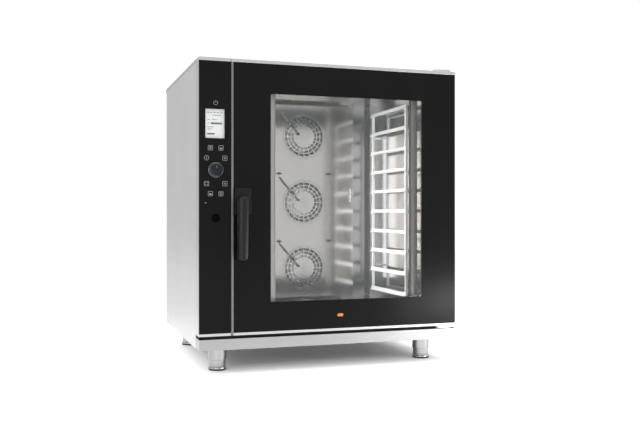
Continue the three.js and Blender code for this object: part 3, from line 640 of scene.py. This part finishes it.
def display():
    """A lit window with plain bars and squares in place of writing."""
    low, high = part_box("display")
    build = Build()
    build.block((low.x, low.y + 0.6 * MM, low.z), (high.x, high.y, high.z), 0.0006, 2, 2)
    build.plate([face_outline(low, high, MM, MM)], "y", low.y + 0.35 * MM, low.y + 0.6 * MM)
    width, height = high.x - low.x, high.z - low.z

    def mark(u0, u1, v0, v1, paint=1):
        loop = rounded(low.x + u0 * width, low.x + u1 * width, low.z + v0 * height, low.z + v1 * height,
                       0.3 * MM, 2)
        build.plate([loop], "y", low.y + 0.1 * MM, low.y + 0.34 * MM, 0.0, paint)

    for k in range(5):
        mark(0.14 + 0.16 * k, 0.22 + 0.16 * k, 0.85, 0.88)
    for k in range(4):
        mark(0.40 + 0.11 * k, 0.47 + 0.11 * k, 0.76, 0.79)
    for row in ((0.30, 0.86, 0.48, 0.54, 3), (0.14, 0.26, 0.62, 0.64), (0.36, 0.62, 0.62, 0.64),
                (0.14, 0.24, 0.50, 0.52), (0.14, 0.44, 0.38, 0.40), (0.14, 0.36, 0.31, 0.33),
                (0.12, 0.50, 0.14, 0.19, 3)):
        mark(*row)
    build.piece("display_module", [SCREEN, SCREEN_INK, PLASTIC, SCREEN_BAR], "display", ["display"])


def knob():
    """The dial: a dished face, a knurled waist, a bright base ring and a pointer line."""
    low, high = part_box("control_knob")
    origin = front_of("control_knob")
    radius = (high.x - low.x) / 2 / MM
    back = (high.y - low.y) / MM
    face = [(0, 1.6), (9, 1.4), (17.6, 0.5), (19.6, 0), (20.4, 0.1)]
    rim = [(20.4, 0.1), (22.8, 2.0), (23.8, 3.6), (24.2, 5.2), (24.3, 6.0)]
    waist = [(24.3, 6.0), (24.3, back - 3.4), (24.3, back - 2.6)]
    ring = [(24.3, back - 2.6), (radius, back - 2.2), (radius, back - 0.4), (24.6, back), (3.4, back),
            (3.4, 11.2), (0, 11.2)]
    build = Build()
    for profile, paint in ((face, 0), (rim, 3), (waist + ring, 0)):
        build.turned(scaled(profile), origin, "y", 96, paint)
    band = [(24.2, back - 2.5), (radius, back - 2.3), (radius, back - 0.5), (24.2, back - 0.3)]
    band.append(band[0])
    build.turned(scaled(band), origin, "y", 96, 1)
    for k in range(40):                         # fine ribs round the waist
        angle = 2 * math.pi * k / 40
        reach = Vector((math.cos(angle), 0, math.sin(angle))) * 24.15 * MM
        build.tube([origin + reach + Vector((0, 6.0, 0)) * MM, origin + reach + Vector((0, 12.5, 0)) * MM],
                   0.55 * MM, 8)
    pointer = face_outline(origin + Vector((-0.5, 0, 6)) * MM, origin + Vector((0.5, 0, 12)) * MM, 0.5 * MM,
                           steps=3)
    build.plate([pointer], "y", low.y + 1.1 * MM, low.y + 2.2 * MM, 0.0, 2)
    build.piece("dial_knob", [KNOB_PLASTIC, STEEL_X, ICON_INK, KNOB_RIM], "knob_plastic", ["control_knob"],
                "knob")


def port_cap():
    centre = front_of("port_cap")
    build = Build()
    profile = [(0, 0.8), (8.5, 0.9), (9.4, 0), (11.5, 0.0), (13.0, 1.0), (14.0, 3.4), (14.0, 4.7), (6.0, 4.7),
               (6.0, 17), (0, 17)]
    build.turned(scaled(profile), centre, "y", 56)
    build.block(centre + Vector((-3.5, 0.1, -1.2)) * MM, centre + Vector((3.5, 1.4, 1.2)) * MM, 0.0004)
    build.piece("port_cover", [PORT_BLACK], "black_plastic", ["port_cap"])


# --- handle and hinges
def handle():
    low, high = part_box("handle_bracket")
    build = Build()
    build.plate([face_outline(low, high, 5 * MM)], "y", low.y + 3 * MM, high.y, 0.0008)
    build.plate([face_outline(low, high, 4 * MM, 1.5 * MM)], "y", low.y, high.y - MM, 0.0015)
    build.piece("handle_mount", [MOUNT_PLASTIC], "black_plastic", ["handle_bracket"], "door")
    grip()


def grip():
    """A hanging lever with a bowed front, tapering downwards, with a neck back to the mount."""
    low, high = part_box("handle_grip")
    depth = 38 * MM
    cx = (low.x + high.x) / 2
    half = (high.x - low.x) / 2
    round_off = 9 * MM
    back = low.y + depth
    span = high.z - low.z
    build = Build()
    rings = []
    steps = 6
    ends = [(round_off * (1 - math.cos(a)), round_off * (1 - math.sin(a)))
            for a in (math.pi / 2 * k / steps for k in range(steps + 1))]
    stations = [(low.z + rise, inset) for rise, inset in ends]
    stations += [(low.z + round_off + (span - 2 * round_off) * k / 10, 0.0) for k in range(1, 10)]
    stations += [(high.z - rise, inset) for rise, inset in ends[::-1]]
    for z, inset in stations:
        t = (z - low.z) / span
        narrow = 1.6 * MM * (1 - t) + inset
        lean = 9 * MM * (1 - t) ** 1.5 + inset
        bulge = max(9 * MM - inset * 0.8, 1.0 * MM)
        back_round = max(5 * MM - inset * 0.5, 1.0 * MM)
        reach = half - narrow
        arch = [math.pi * (k / 18 - 0.5) for k in range(19)]
        loop = [(cx + reach * math.sin(a), low.y + lean + bulge * (1 - math.cos(a))) for a in arch]
        side, rear = reach - back_round, back - inset * 0.6 - back_round
        loop += arc(cx + side, rear, back_round, 0, math.pi / 2, 6)
        loop += arc(cx - side, rear, back_round, math.pi / 2, math.pi, 6)
        rings.append([Vector((x, y, z)) for x, y in loop])
    build.loft(rings)
    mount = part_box("handle_bracket")[0].y
    pivot = at(HANDLE_PIVOT[0], 0, HANDLE_PIVOT[1])
    front, foot_y, end = (back - pivot.y) / MM, (mount - pivot.y) / MM, (high.y - pivot.y) / MM
    neck = [(0, front - 2), (14.6, front - 2), (14.6, front + 1.5), (13, front + 3), (13, foot_y - 3),
            (15, foot_y - 1.2), (15, foot_y - 0.3), (0, foot_y - 0.3)]
    spindle = [(0, front), (6, front), (6, end), (0, end)]
    build.turned(scaled(neck), pivot, "y", 48)
    build.turned(scaled(spindle), pivot, "y", 32, 1)
    build.piece("handle_lever", [HANDLE_PLASTIC, STEEL_X], "black_plastic", ["handle_grip"], "handle", 50)


def top_hinge():
    low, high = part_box("hinge_plate_top")
    pin = 6 * MM
    axis = at(*HINGE_AXIS, 0)
    plate_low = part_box("top_cover")[1].z + 0.3 * MM
    build = Build()
    outline = rounded(low.x, high.x, low.y, high.y, 18 * MM, 10)
    build.plate([outline], "z", plate_low, high.z, 0.0022)
    end = plate_low + MM
    profile = [(0, low.z), (pin - MM, low.z), (pin, low.z + MM), (pin, end), (0, end)]
    build.turned(profile, axis, "z", 32)
    build.piece("hinge_top", [STEEL_X], "steel_satin", ["hinge_plate_top"])
    screws("hinge_screws", [(low.x + 18 * MM, high.y - back * MM, high.z) for back in (12, 34)], "z")


def screws(name, places, axis, radius=4.2):
    """Pan-head screws that stand on a face and point along the axis."""
    build = Build()
    head = [(0, 1.9), (radius * 0.45, 1.75), (radius * 0.8, 1.2), (radius, 0.35), (radius, 0), (0, 0)]
    for place in places:
        build.turned(scaled(head), place, axis, 24)
    build.piece(name, [DARK_STEEL], "steel_satin")


# --- cavity
def baffle():
    """The fan cover: a bright sheet with three rimmed eyes and a perforated grille in each."""
    low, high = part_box("baffle")
    sheet = 1.5 * MM
    middle = (low.x + high.x) / 2
    eyes = [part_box(f"intake_grille_{n}") for n in (1, 2, 3)]
    radius = (eyes[0][1].x - eyes[0][0].x) / 2 + 0.3 * MM
    heights = [(a.z + b.z) / 2 for a, b in eyes]
    build = Build()
    holes = [circle(middle, z, radius, 72) for z in heights]
    build.plate([face_outline(low, high, 3 * MM), *holes], "y", low.y, low.y + sheet, 0.0003)
    for x in (low.x, high.x - sheet):
        build.block((x, low.y + MM, low.z + 2 * MM), (x + sheet, high.y, high.z - 2 * MM), 0.0003)
    build.piece("fan_cover", [MIRROR], "steel_polished", ["baffle"])
    for number, z in enumerate(heights, 1):
        grille(number, middle, z, radius - 0.3 * MM, low.y, sheet)
    fixings(low, middle)


def grille(number, cx, cz, radius, y, sheet):
    sectors = 20
    gap = 3.2 * MM
    holes = []
    for inner, outer in scaled([(43, 53), (56.5, 66.5), (70, 80)]):
        for k in range(sectors):
            mid = 2 * math.pi * (k + 0.5) / sectors
            half_in = math.pi / sectors - gap / 2 / inner
            half_out = math.pi / sectors - gap / 2 / outer
            holes.append(arc(cx, cz, outer, mid - half_out, mid + half_out, 3)
                         + arc(cx, cz, inner, mid + half_in, mid - half_in, 3))
    build = Build()
    build.plate([circle(cx, cz, radius, 72), *holes], "y", y, y + sheet, 0.0)
    rim = [(radius - 3 * MM, 0), (radius - 2 * MM, -0.9 * MM), (radius - 0.8 * MM, -0.9 * MM), (radius, 0),
           (radius - 3 * MM, 0)]
    build.turned(rim, (cx, y, cz), "y", 72)
    build.turned([(0, -1.4 * MM), (9 * MM, -1.2 * MM), (10 * MM, 0), (0, 0)], (cx, y, cz), "y", 32)
    build.piece(f"intake_grille_punched_{number}", [MIRROR], "steel_polished",
                [f"intake_grille_{number}"])


def fixings(low, middle):
    """Four wing nuts on studs that hold the fan cover."""
    stud = [(0, -13), (2.6, -13), (3.0, -12.4), (3.0, 0), (0, 0)]
    hub = [(0, -9), (4.2, -9), (5.0, -8), (5.6, -1), (6.2, -0.5), (6.2, 0), (0, 0)]
    places = [(dx, z) for z in NUT_HEIGHTS for dx in (-NUT_REACH, NUT_REACH)]
    for number, (dx, z) in enumerate(places, 1):
        centre = Vector((middle + dx * MM, low.y - 0.1 * MM, at(0, 0, z).z))
        build = Build()
        for profile in (stud, hub):
            build.turned(scaled(profile), centre, "y", 32)
        for side in (-1, 1):
            wing = [(4.0, -2.0), (11.5, -1.4), (11.9, -7.5), (9.5, -10.5), (4.0, -7.5)][::-side]
            loop = [(centre.x + side * u * MM, centre.y + v * MM) for u, v in wing]
            build.plate([loop], "z", centre.z - 1.9 * MM, centre.z + 1.9 * MM, 0.0005)
        build.piece(f"cover_wing_nut_{number}", [NUT_STEEL], "steel_satin")


def spray_pipe(number):
    low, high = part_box(f"spray_pipe_{number}")
    radius = 2.4 * MM
    y = low.y + 4 * MM
    start = Vector((low.x + 4 * MM, 0, high.z - 4 * MM))
    end = Vector((high.x - 2 * MM, 0, low.z + 2 * MM))
    run = []
    for k in range(7):
        a = math.pi / 2 * k / 6
        along = (end - start).normalized() * (12 * MM * (1 - math.cos(a)))
        run.append(Vector((start.x, high.y - (high.y - y) * math.sin(a), start.z)) + along)
    run.append(Vector((end.x, y, end.z)))
    build = Build().tube(run, radius, 16)
    tip = run[-1]
    back = (run[-2] - tip).normalized()
    middle = run[-2].lerp(tip, 0.62)
    build.tube([middle + back * 9 * MM, middle - back * 9 * MM], 4.2 * MM, 12, False, 1)
    build.tube([tip + back * 9 * MM, tip + back * 1.5 * MM], 3.8 * MM, 12, False, 1)
    build.block(middle + Vector((-7, -1, -2.4)) * MM, middle + Vector((7, 9, 2.4)) * MM, 0.0010, 2, 1)
    build.piece(f"spray_pipe_bent_{number}", [PIPE_STEEL, NUT_STEEL], "steel_polished",
                [f"spray_pipe_{number}"])


def fan(number):
    low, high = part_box(f"fan_wheel_{number}")
    plate = front_of(f"fan_wheel_{number}") + Vector((0, 46, 0)) * MM
    radius = (high.x - low.x) / 2
    build = Build()
    rim, end = radius / MM, (high.y - plate.y) / MM
    hub = [(0, -23), (14, -23), (17, -20), (20, -8), (24, 0), (rim, 0), (rim, 3), (12, 3), (9, 8), (7.5, 12),
           (7.5, end), (0, end)]
    ring = [(rim - 22, -46), (rim, -46), (rim, -43), (rim - 22, -43), (rim - 22, -46)]
    nut = [(0, -31), (8, -31), (9, -29), (9, -22), (0, -22)]
    build.turned(scaled(hub), plate, "y", 72, 1)
    build.turned(scaled(ring), plate, "y", 72)
    build.turned(scaled(nut), plate, "y", 6)
    blades = 24
    for k in range(blades):
        spine = [(0.06 + (radius - 0.062) * t, 2 * math.pi * k / blades + 0.30 * t ** 1.3)
                 for t in (step / 4 for step in range(5))]
        edges = [(r, a + 0.007) for r, a in spine] + [(r, a - 0.007) for r, a in spine[::-1]]
        blade = [(plate.x + r * math.cos(a), plate.z + r * math.sin(a)) for r, a in edges]
        build.plate([blade], "y", low.y + 2 * MM, plate.y + 0.5 * MM)
    build.piece(f"fan_rotor_{number}", [DARK_STEEL, HUB_STEEL], "fan_steel", [f"fan_wheel_{number}"],
                f"fan_{number}")


def heater(number):
    low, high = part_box(f"ring_heater_{number}")
    centre = centre_of(f"fan_wheel_{number}")
    cx, cz = centre.x, centre.z
    tube = 4.25 * MM
    radius = (high.x - low.x) / 2 - tube
    front, rear = low.y + tube, low.y + tube + 18 * MM
    build = Build()
    rise = math.sqrt(radius ** 2 - (20 * MM) ** 2)
    for y in (front, rear):
        loop = [Vector((x, y, z)) for x, z in circle(cx, cz, radius, 72)]
        build.tube(loop, tube * 0.98, 12, True)
    for dx in (-20 * MM, 20 * MM):
        build.tube([Vector((cx + dx, y, cz + rise)) for y in (front, high.y)], tube * 0.85, 12)
    build.piece(f"heater_rings_{number}", [HEATER], "heater_alloy", [f"ring_heater_{number}"])


def rack(side):
    """A stamped ladder frame with ten folded rails, hung off the wall on four pegs."""
    node = f"rack_{side}"
    low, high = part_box(node)
    sign = -1 if side == "left" else 1
    half_span, rails, pitch, height, over = 275 * MM, 10, 77.44 * MM, 13 * MM, 8 * MM
    plane = cavity_middle() + sign * half_span
    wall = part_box(f"cavity_{side}_wall")[1 if side == "left" else 0].x
    peg_inset = 96.5 * MM
    y0, y1 = low.y + over, high.y - over
    post = 8 * MM
    levels = [low.z + height / 2 + k * pitch for k in range(rails)]
    build = Build()
    outline = rounded(y0 - post / 2, y1 + post / 2, low.z, high.z, 6 * MM)
    windows = [rounded(y0 + post / 2, y1 - post / 2, a + height / 2, b - height / 2, 9 * MM)
               for a, b in zip(levels, levels[1:])]
    inner, outer = sorted((plane - sign * 2 * MM, plane))
    build.plate([outline, *windows], "x", inner, outer, 0.0005)
    for y in (y0, y1):                          # square tube behind each post
        a, b = sorted((plane, plane + sign * post))
        build.block((a, y - post / 2, low.z + MM), (b, y + post / 2, high.z - MM), 0.0012)
        for z in (low.z + peg_inset, high.z - peg_inset):
            peg = [Vector((plane + sign * 7 * MM, y, z)), Vector((wall - sign * 0.3 * MM, y, z))]
            build.tube(peg, 4 * MM, 16)
    for z in levels:
        rail(build, plane, sign, y0 - over, y1 + over, z, height)
    build.piece(f"rack_frame_{side}", [RACK_STEEL], "steel_polished", [node])


def rail(build, plane, sign, y0, y1, z, height):
    """One rail: an upright web folded inward into a shelf, with round corners at its ends."""
    shelf = 16 * MM
    web = sorted((plane - sign * 3 * MM, plane + sign * 0.8 * MM))
    build.block((web[0], y0, z - height / 2), (web[1], y1, z + height / 2), 0.0008)
    u0, u1 = sorted((plane - sign * shelf, plane - sign * MM))
    under = z - height / 2
    build.plate([rounded(u0, u1, y0, y1 - 10 * MM, 7 * MM)], "z", under - 0.2 * MM, under + 1.8 * MM, 0.0006)


def painted_corner_shades():
    """Dark strips up the two rear corners of the cavity, painted shade in the corners, thin along the wall
    and rounded into the corner.
    """
    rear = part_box("cavity_back_wall")[0].y
    low, high = at(0, 0, 190).z, at(0, 0, 978).z
    leg, sheet, bead = 30 * MM, 1.2 * MM, 5 * MM
    for side, face, sign in (("left", 1, 1), ("right", 0, -1)):
        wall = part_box(f"cavity_{side}_wall")[face].x
        x, y = wall + sign * 0.2 * MM, rear - 0.2 * MM
        loop = [(x, y), (x, y - leg), (x + sign * sheet, y - leg), (x + sign * sheet * 1.5, y - bead),
                (x + sign * bead, y)]
        build = Build()
        build.plate([loop[::sign]], "z", low, high)
        build.piece(f"painted_corner_shade_{side}", [PAINTED_CORNER_SHADE_STEEL], "steel_satin")


def strainer():
    """The round strainer that lies over the drain in the cavity floor."""
    floor_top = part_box("cavity_floor")[1].z
    cx, cy = cavity_middle(), at(0, DRAIN_DEPTH, 0).y
    holes = [circle(cx + 8 * MM * i, cy + 8 * MM * j, 2.4 * MM, 12)
             for i in range(-2, 3) for j in range(-2, 3) if i * i + j * j < 6]
    build = Build()
    build.plate([circle(cx, cy, 27 * MM), *holes], "z", floor_top + 0.3 * MM, floor_top + 1.8 * MM,
                0.0004)
    build.piece("drain_strainer", [MIRROR], "steel_polished")


def probe():
    """A slim temperature probe clipped to the right of the fan cover."""
    low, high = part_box("baffle")
    clip = Vector((high.x - 14 * MM, low.y, at(0, 0, 601).z))
    bends = [clip + Vector((0, out, up)) * MM for out, up in ((-7, -20), (-7, 26), (-5, 31), (-0.2, 33))]
    build = Build().tube(bends, 2.2 * MM, 12)
    for dz in (-12, 12):
        near, far = Vector((-5, -9.6, dz - 2)), Vector((5, -0.2, dz + 2))
        build.block(clip + near * MM, clip + far * MM, 0.0008, 2, 1)
    build.piece("cavity_probe", [RACK_STEEL, DARK_STEEL], "steel_polished")


# --- services and back
def vent():
    low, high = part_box("vent_pipe")
    centre = centre_of("vent_pipe")
    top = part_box("top_cover")[1].z
    outer = (high.x - low.x) / 2
    wall = 1.5 * MM
    pipe = [(outer - wall, low.z), (outer, low.z), (outer, high.z - MM), (outer - 0.3 * MM, high.z),
            (outer - wall, high.z), (outer - wall, low.z)]
    steps = [(0, 0.3), (16, 0.3), (16, 2), (5, 3), (1.5, 9), (0, 9), (0, 0.3)]
    collar = [(outer + out, up) for out, up in scaled(steps)]
    build = Build()
    build.turned(pipe, (centre.x, centre.y, 0), "z", 64)
    build.turned(collar, (centre.x, centre.y, top), "z", 64)
    build.piece("vent_chimney", [STEEL_Z], "steel_satin", ["vent_pipe"])
    corners = arc(centre.x, centre.y, 39 * MM, math.pi / 4, math.pi * 7 / 4, 3)
    screws("vent_screws", [(x, y, top + 2 * MM) for x, y in corners], "z", 3.2)


def drain():
    low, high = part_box("drain_pipe")
    cx = (low.x + high.x) / 2
    radius = 20 * MM
    height = at(0, 0, 118).z
    y = at(0, DRAIN_DEPTH, 0).y
    bend = 30 * MM
    run = [Vector((cx, y, high.z))]
    for k in range(9):
        a = math.pi / 2 * k / 8
        run.append(Vector((cx, y + bend * (1 - math.cos(a)), height + bend * (1 - math.sin(a)))))
    run.append(Vector((cx, high.y, height)))
    rings = [[], []]
    for index, place in enumerate(run):
        before, after = run[max(0, index - 1)], run[min(len(run) - 1, index + 1)]
        ahead = (after - before).normalized()
        across = Vector((1, 0, 0))
        up = ahead.cross(across)
        for which, r in enumerate((radius - 0.6 * MM, radius - 2 * MM)):
            rings[which].append([place + across * u + up * v for u, v in circle(0, 0, r, 40)])
    build = Build()
    build.loft(rings[0] + rings[1][::-1], closed=True)
    band = [(19.4, -5), (20, -5), (20, 5), (19.4, 5), (19.4, -5)]
    build.turned(scaled(band), (cx, high.y - 14 * MM, height), "y", 40)
    build.piece("drain_elbow", [STEEL_Z], "steel_satin", ["drain_pipe"])


def rear_fitting(node):
    """Where a fitting crosses the rear skin, and how far it reaches inwards and outwards, in millimetres."""
    low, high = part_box(node)
    centre = centre_of(node)
    centre.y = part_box("rear_panel")[1].y
    return centre, (low.y - centre.y) / MM, (high.y - centre.y) / MM


def water_inlet():
    centre, inside, outside = rear_fitting("water_inlet")
    bore, crest, root, turns = 8, 13, 12, 7
    profile = [(bore, inside), (9, inside), (9, 0.3), (17.6, 0.3), (18, 1), (18, 5.5), (17, 6.3), (root, 6.4)]
    start, end = 7, outside - 1
    step = (end - start) / turns
    for k in range(turns):
        y = start + step * k
        profile += [(root, y), (crest, y + step * 0.4), (crest, y + step * 0.6)]
    profile += [(root, end), (root - 0.5, outside), (bore, outside), (bore, inside)]
    build = Build()
    build.turned(scaled(profile), centre, "y", 48)
    build.piece("water_connector", [BRASS], "brass", ["water_inlet"])


def cable_gland():
    centre, inside, outside = rear_fitting("cable_gland")
    profile = [(7, inside), (9, inside), (9, 0.3), (16.5, 0.3), (17, 0.9), (17, 4.6), (16.4, 5.2), (14, 5.3),
               (14, 17), (12.8, 20.5), (11, outside), (7, outside), (7, inside)]
    build = Build()
    build.turned(scaled(profile), centre, "y", 48)
    ribs = 12
    for u, v in circle(0, 0, 13.9, ribs):
        build.tube([centre + Vector((u, y, v)) * MM for y in (6.5, 16.5)], MM, 8)
    build.piece("cord_gland", [PLASTIC], "black_plastic", ["cable_gland"])


def back_details():
    """Screws round the rear skin and along the rear flange of each side."""
    low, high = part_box("rear_panel")
    inset = 12 * MM
    places = []
    for k in range(6):
        z = low.z + inset + (high.z - low.z - 2 * inset) * k / 5
        places += [(low.x + inset, high.y, z), (high.x - inset, high.y, z)]
    for k in range(1, 5):
        x = low.x + inset + (high.x - low.x - 2 * inset) * k / 5
        places += [(x, high.y, low.z + inset), (x, high.y, high.z - inset)]
    screws("rear_screws", places, "y")


casing()
base()
for number in (1, 2, 3, 4):
    foot(number)
door()
gasket()
control_panel()
display()
knob()
port_cap()
handle()
top_hinge()
baffle()
for number in (1, 2, 3):
    spray_pipe(number)
    fan(number)
    heater(number)
rack("left")
rack("right")
strainer()
painted_corner_shades()
probe()
vent()
drain()
water_inlet()
cable_gland()
back_details()


# --- studio
def studio():
    front, back = 1.05, 0.74                    # the room is darker behind the oven
    world = bpy.data.worlds.new("studio")
    bpy.context.scene.world = world
    world.use_nodes = True
    nodes, links = world.node_tree.nodes, world.node_tree.links
    background = nodes["Background"]
    background.inputs["Color"].default_value = (1.0, 1.0, 1.0, 1)
    place = nodes.new("ShaderNodeTexCoord").outputs["Generated"]
    split = nodes.new("ShaderNodeSeparateXYZ")
    links.new(place, split.inputs["Vector"])
    behind = map_range(world.node_tree, split.outputs["Y"], 0.0, 0.8, front, back)
    direct = nodes.new("ShaderNodeLightPath").outputs["Is Camera Ray"]
    pick = nodes.new("ShaderNodeMix")
    pick.inputs["B"].default_value = front
    links.new(direct, pick.inputs["Factor"])
    links.new(behind, pick.inputs["A"])
    links.new(pick.outputs["Result"], background.inputs["Strength"])

    floor()

    area_light("overhead", (0.4, -1.2, 3.6), (0.0, 0.0, 0.6), 3.2, 60)
    area_light("key_left", at(-2015, -2940, 640), at(0, 0, 600), 0, 16.5, (1.3, 1.2))
    area_light("key_narrow", at(-1010, -3300, 600), at(0, 0, 600), 0, 2.0, (0.26, 1.2))
    low_card = area_light("low_right_card", (1.47, -1.36, 0.0), (0.6, -0.36, 0.25), 0, 20.0, (1.5, 0.36))
    low_card.data.shape = "ELLIPSE"
    area_light("behind_cover", at(276, 565, 561), at(363, 360, 561), 0, 0.17, (0.05, 0.60))
    racks = area_light("rack_fill", at(-170, 110, 585), at(300, 290, 585), 0, 7.0, (0.10, 0.74))
    racks.visible_glossy = False


def floor():
    """A white studio floor with painted light: it glows by its own emission, strongest just outside the
    oven's footprint and not at all under the oven.
    """
    depth = cad_high.y - GLASS_PLANE
    middle = GLASS_PLANE + depth / 2
    bpy.ops.mesh.primitive_plane_add(size=14, location=(0, middle, -0.0003))
    plane = bpy.context.object
    plane.name = "floor"
    paint = Finish("painted_light_floor", grey(0.90), 0.0, 0.6)
    paint.vary_roughness(paint.noise((2.0, 2.0, 2.0)), 0.55, 0.65)
    split = paint.nodes.new("ShaderNodeSeparateXYZ")
    paint.links.new(paint.place, split.inputs["Vector"])

    def math_node(operation, first, second=0.0):
        node = paint.nodes.new("ShaderNodeMath")
        node.operation = operation
        for socket, value in zip(node.inputs, (first, second)):
            if isinstance(value, float):
                socket.default_value = value
            else:
                paint.links.new(value, socket)
        return node.outputs[0]

    # painted light: the floor's emission is zero under the oven, rises to its peak just outside the footprint
    # and fades to a faint glow further out
    shift_x, shade_x, shade_y = 0.03, 0.305, depth / 2 - 0.23
    from_middle = math_node("ABSOLUTE", math_node("SUBTRACT", split.outputs["X"], shift_x))
    across = math_node("SUBTRACT", from_middle, shade_x)
    along = math_node("SUBTRACT", math_node("ABSOLUTE", split.outputs["Y"]), shade_y)
    away = math_node("MAXIMUM", across, math_node("MULTIPLY", along, 0.65))

    rise = map_range(paint, away, 0.0, 0.25, 0.0, 1.0, True)
    fall = map_range(paint, away, 0.2, 0.9, 0.74, 0.13, True)
    strength = math_node("MULTIPLY", rise, fall)
    paint.shader.inputs["Emission Color"].default_value = (1.0, 1.0, 1.0, 1)
    paint.links.new(strength, paint.shader.inputs["Emission Strength"])
    plane.data.materials.append(paint.material)


def area_light(name, place, target, size, power, rectangle=None):
    data = bpy.data.lights.new(name, "AREA")
    data.energy = power
    data.size = size
    if rectangle:
        data.shape = "RECTANGLE"
        data.size, data.size_y = rectangle
    light = bpy.data.objects.new(name, data)
    light.location = place
    light.rotation_euler = (Vector(target) - Vector(place)).to_track_quat("-Z", "Y").to_euler()
    light.visible_camera = False
    bpy.context.scene.collection.objects.link(light)
    return light


def camera():
    """A level view from the left front, with the eye near the middle of the oven's height."""
    data = bpy.data.cameras.new("camera")
    data.sensor_width, data.lens, data.clip_end = 36.0, 46.1, 100.0
    eye = bpy.data.objects.new("camera", data)
    eye.location = at(-938, -2655, 533)
    turn = math.radians(18.5)
    ahead = Vector((math.sin(turn), math.cos(turn), 0))
    eye.rotation_euler = ahead.to_track_quat("-Z", "Y").to_euler()
    bpy.context.scene.collection.objects.link(eye)
    bpy.context.scene.camera = eye
    bpy.context.scene.view_settings.view_transform = "Standard"


studio()
camera()
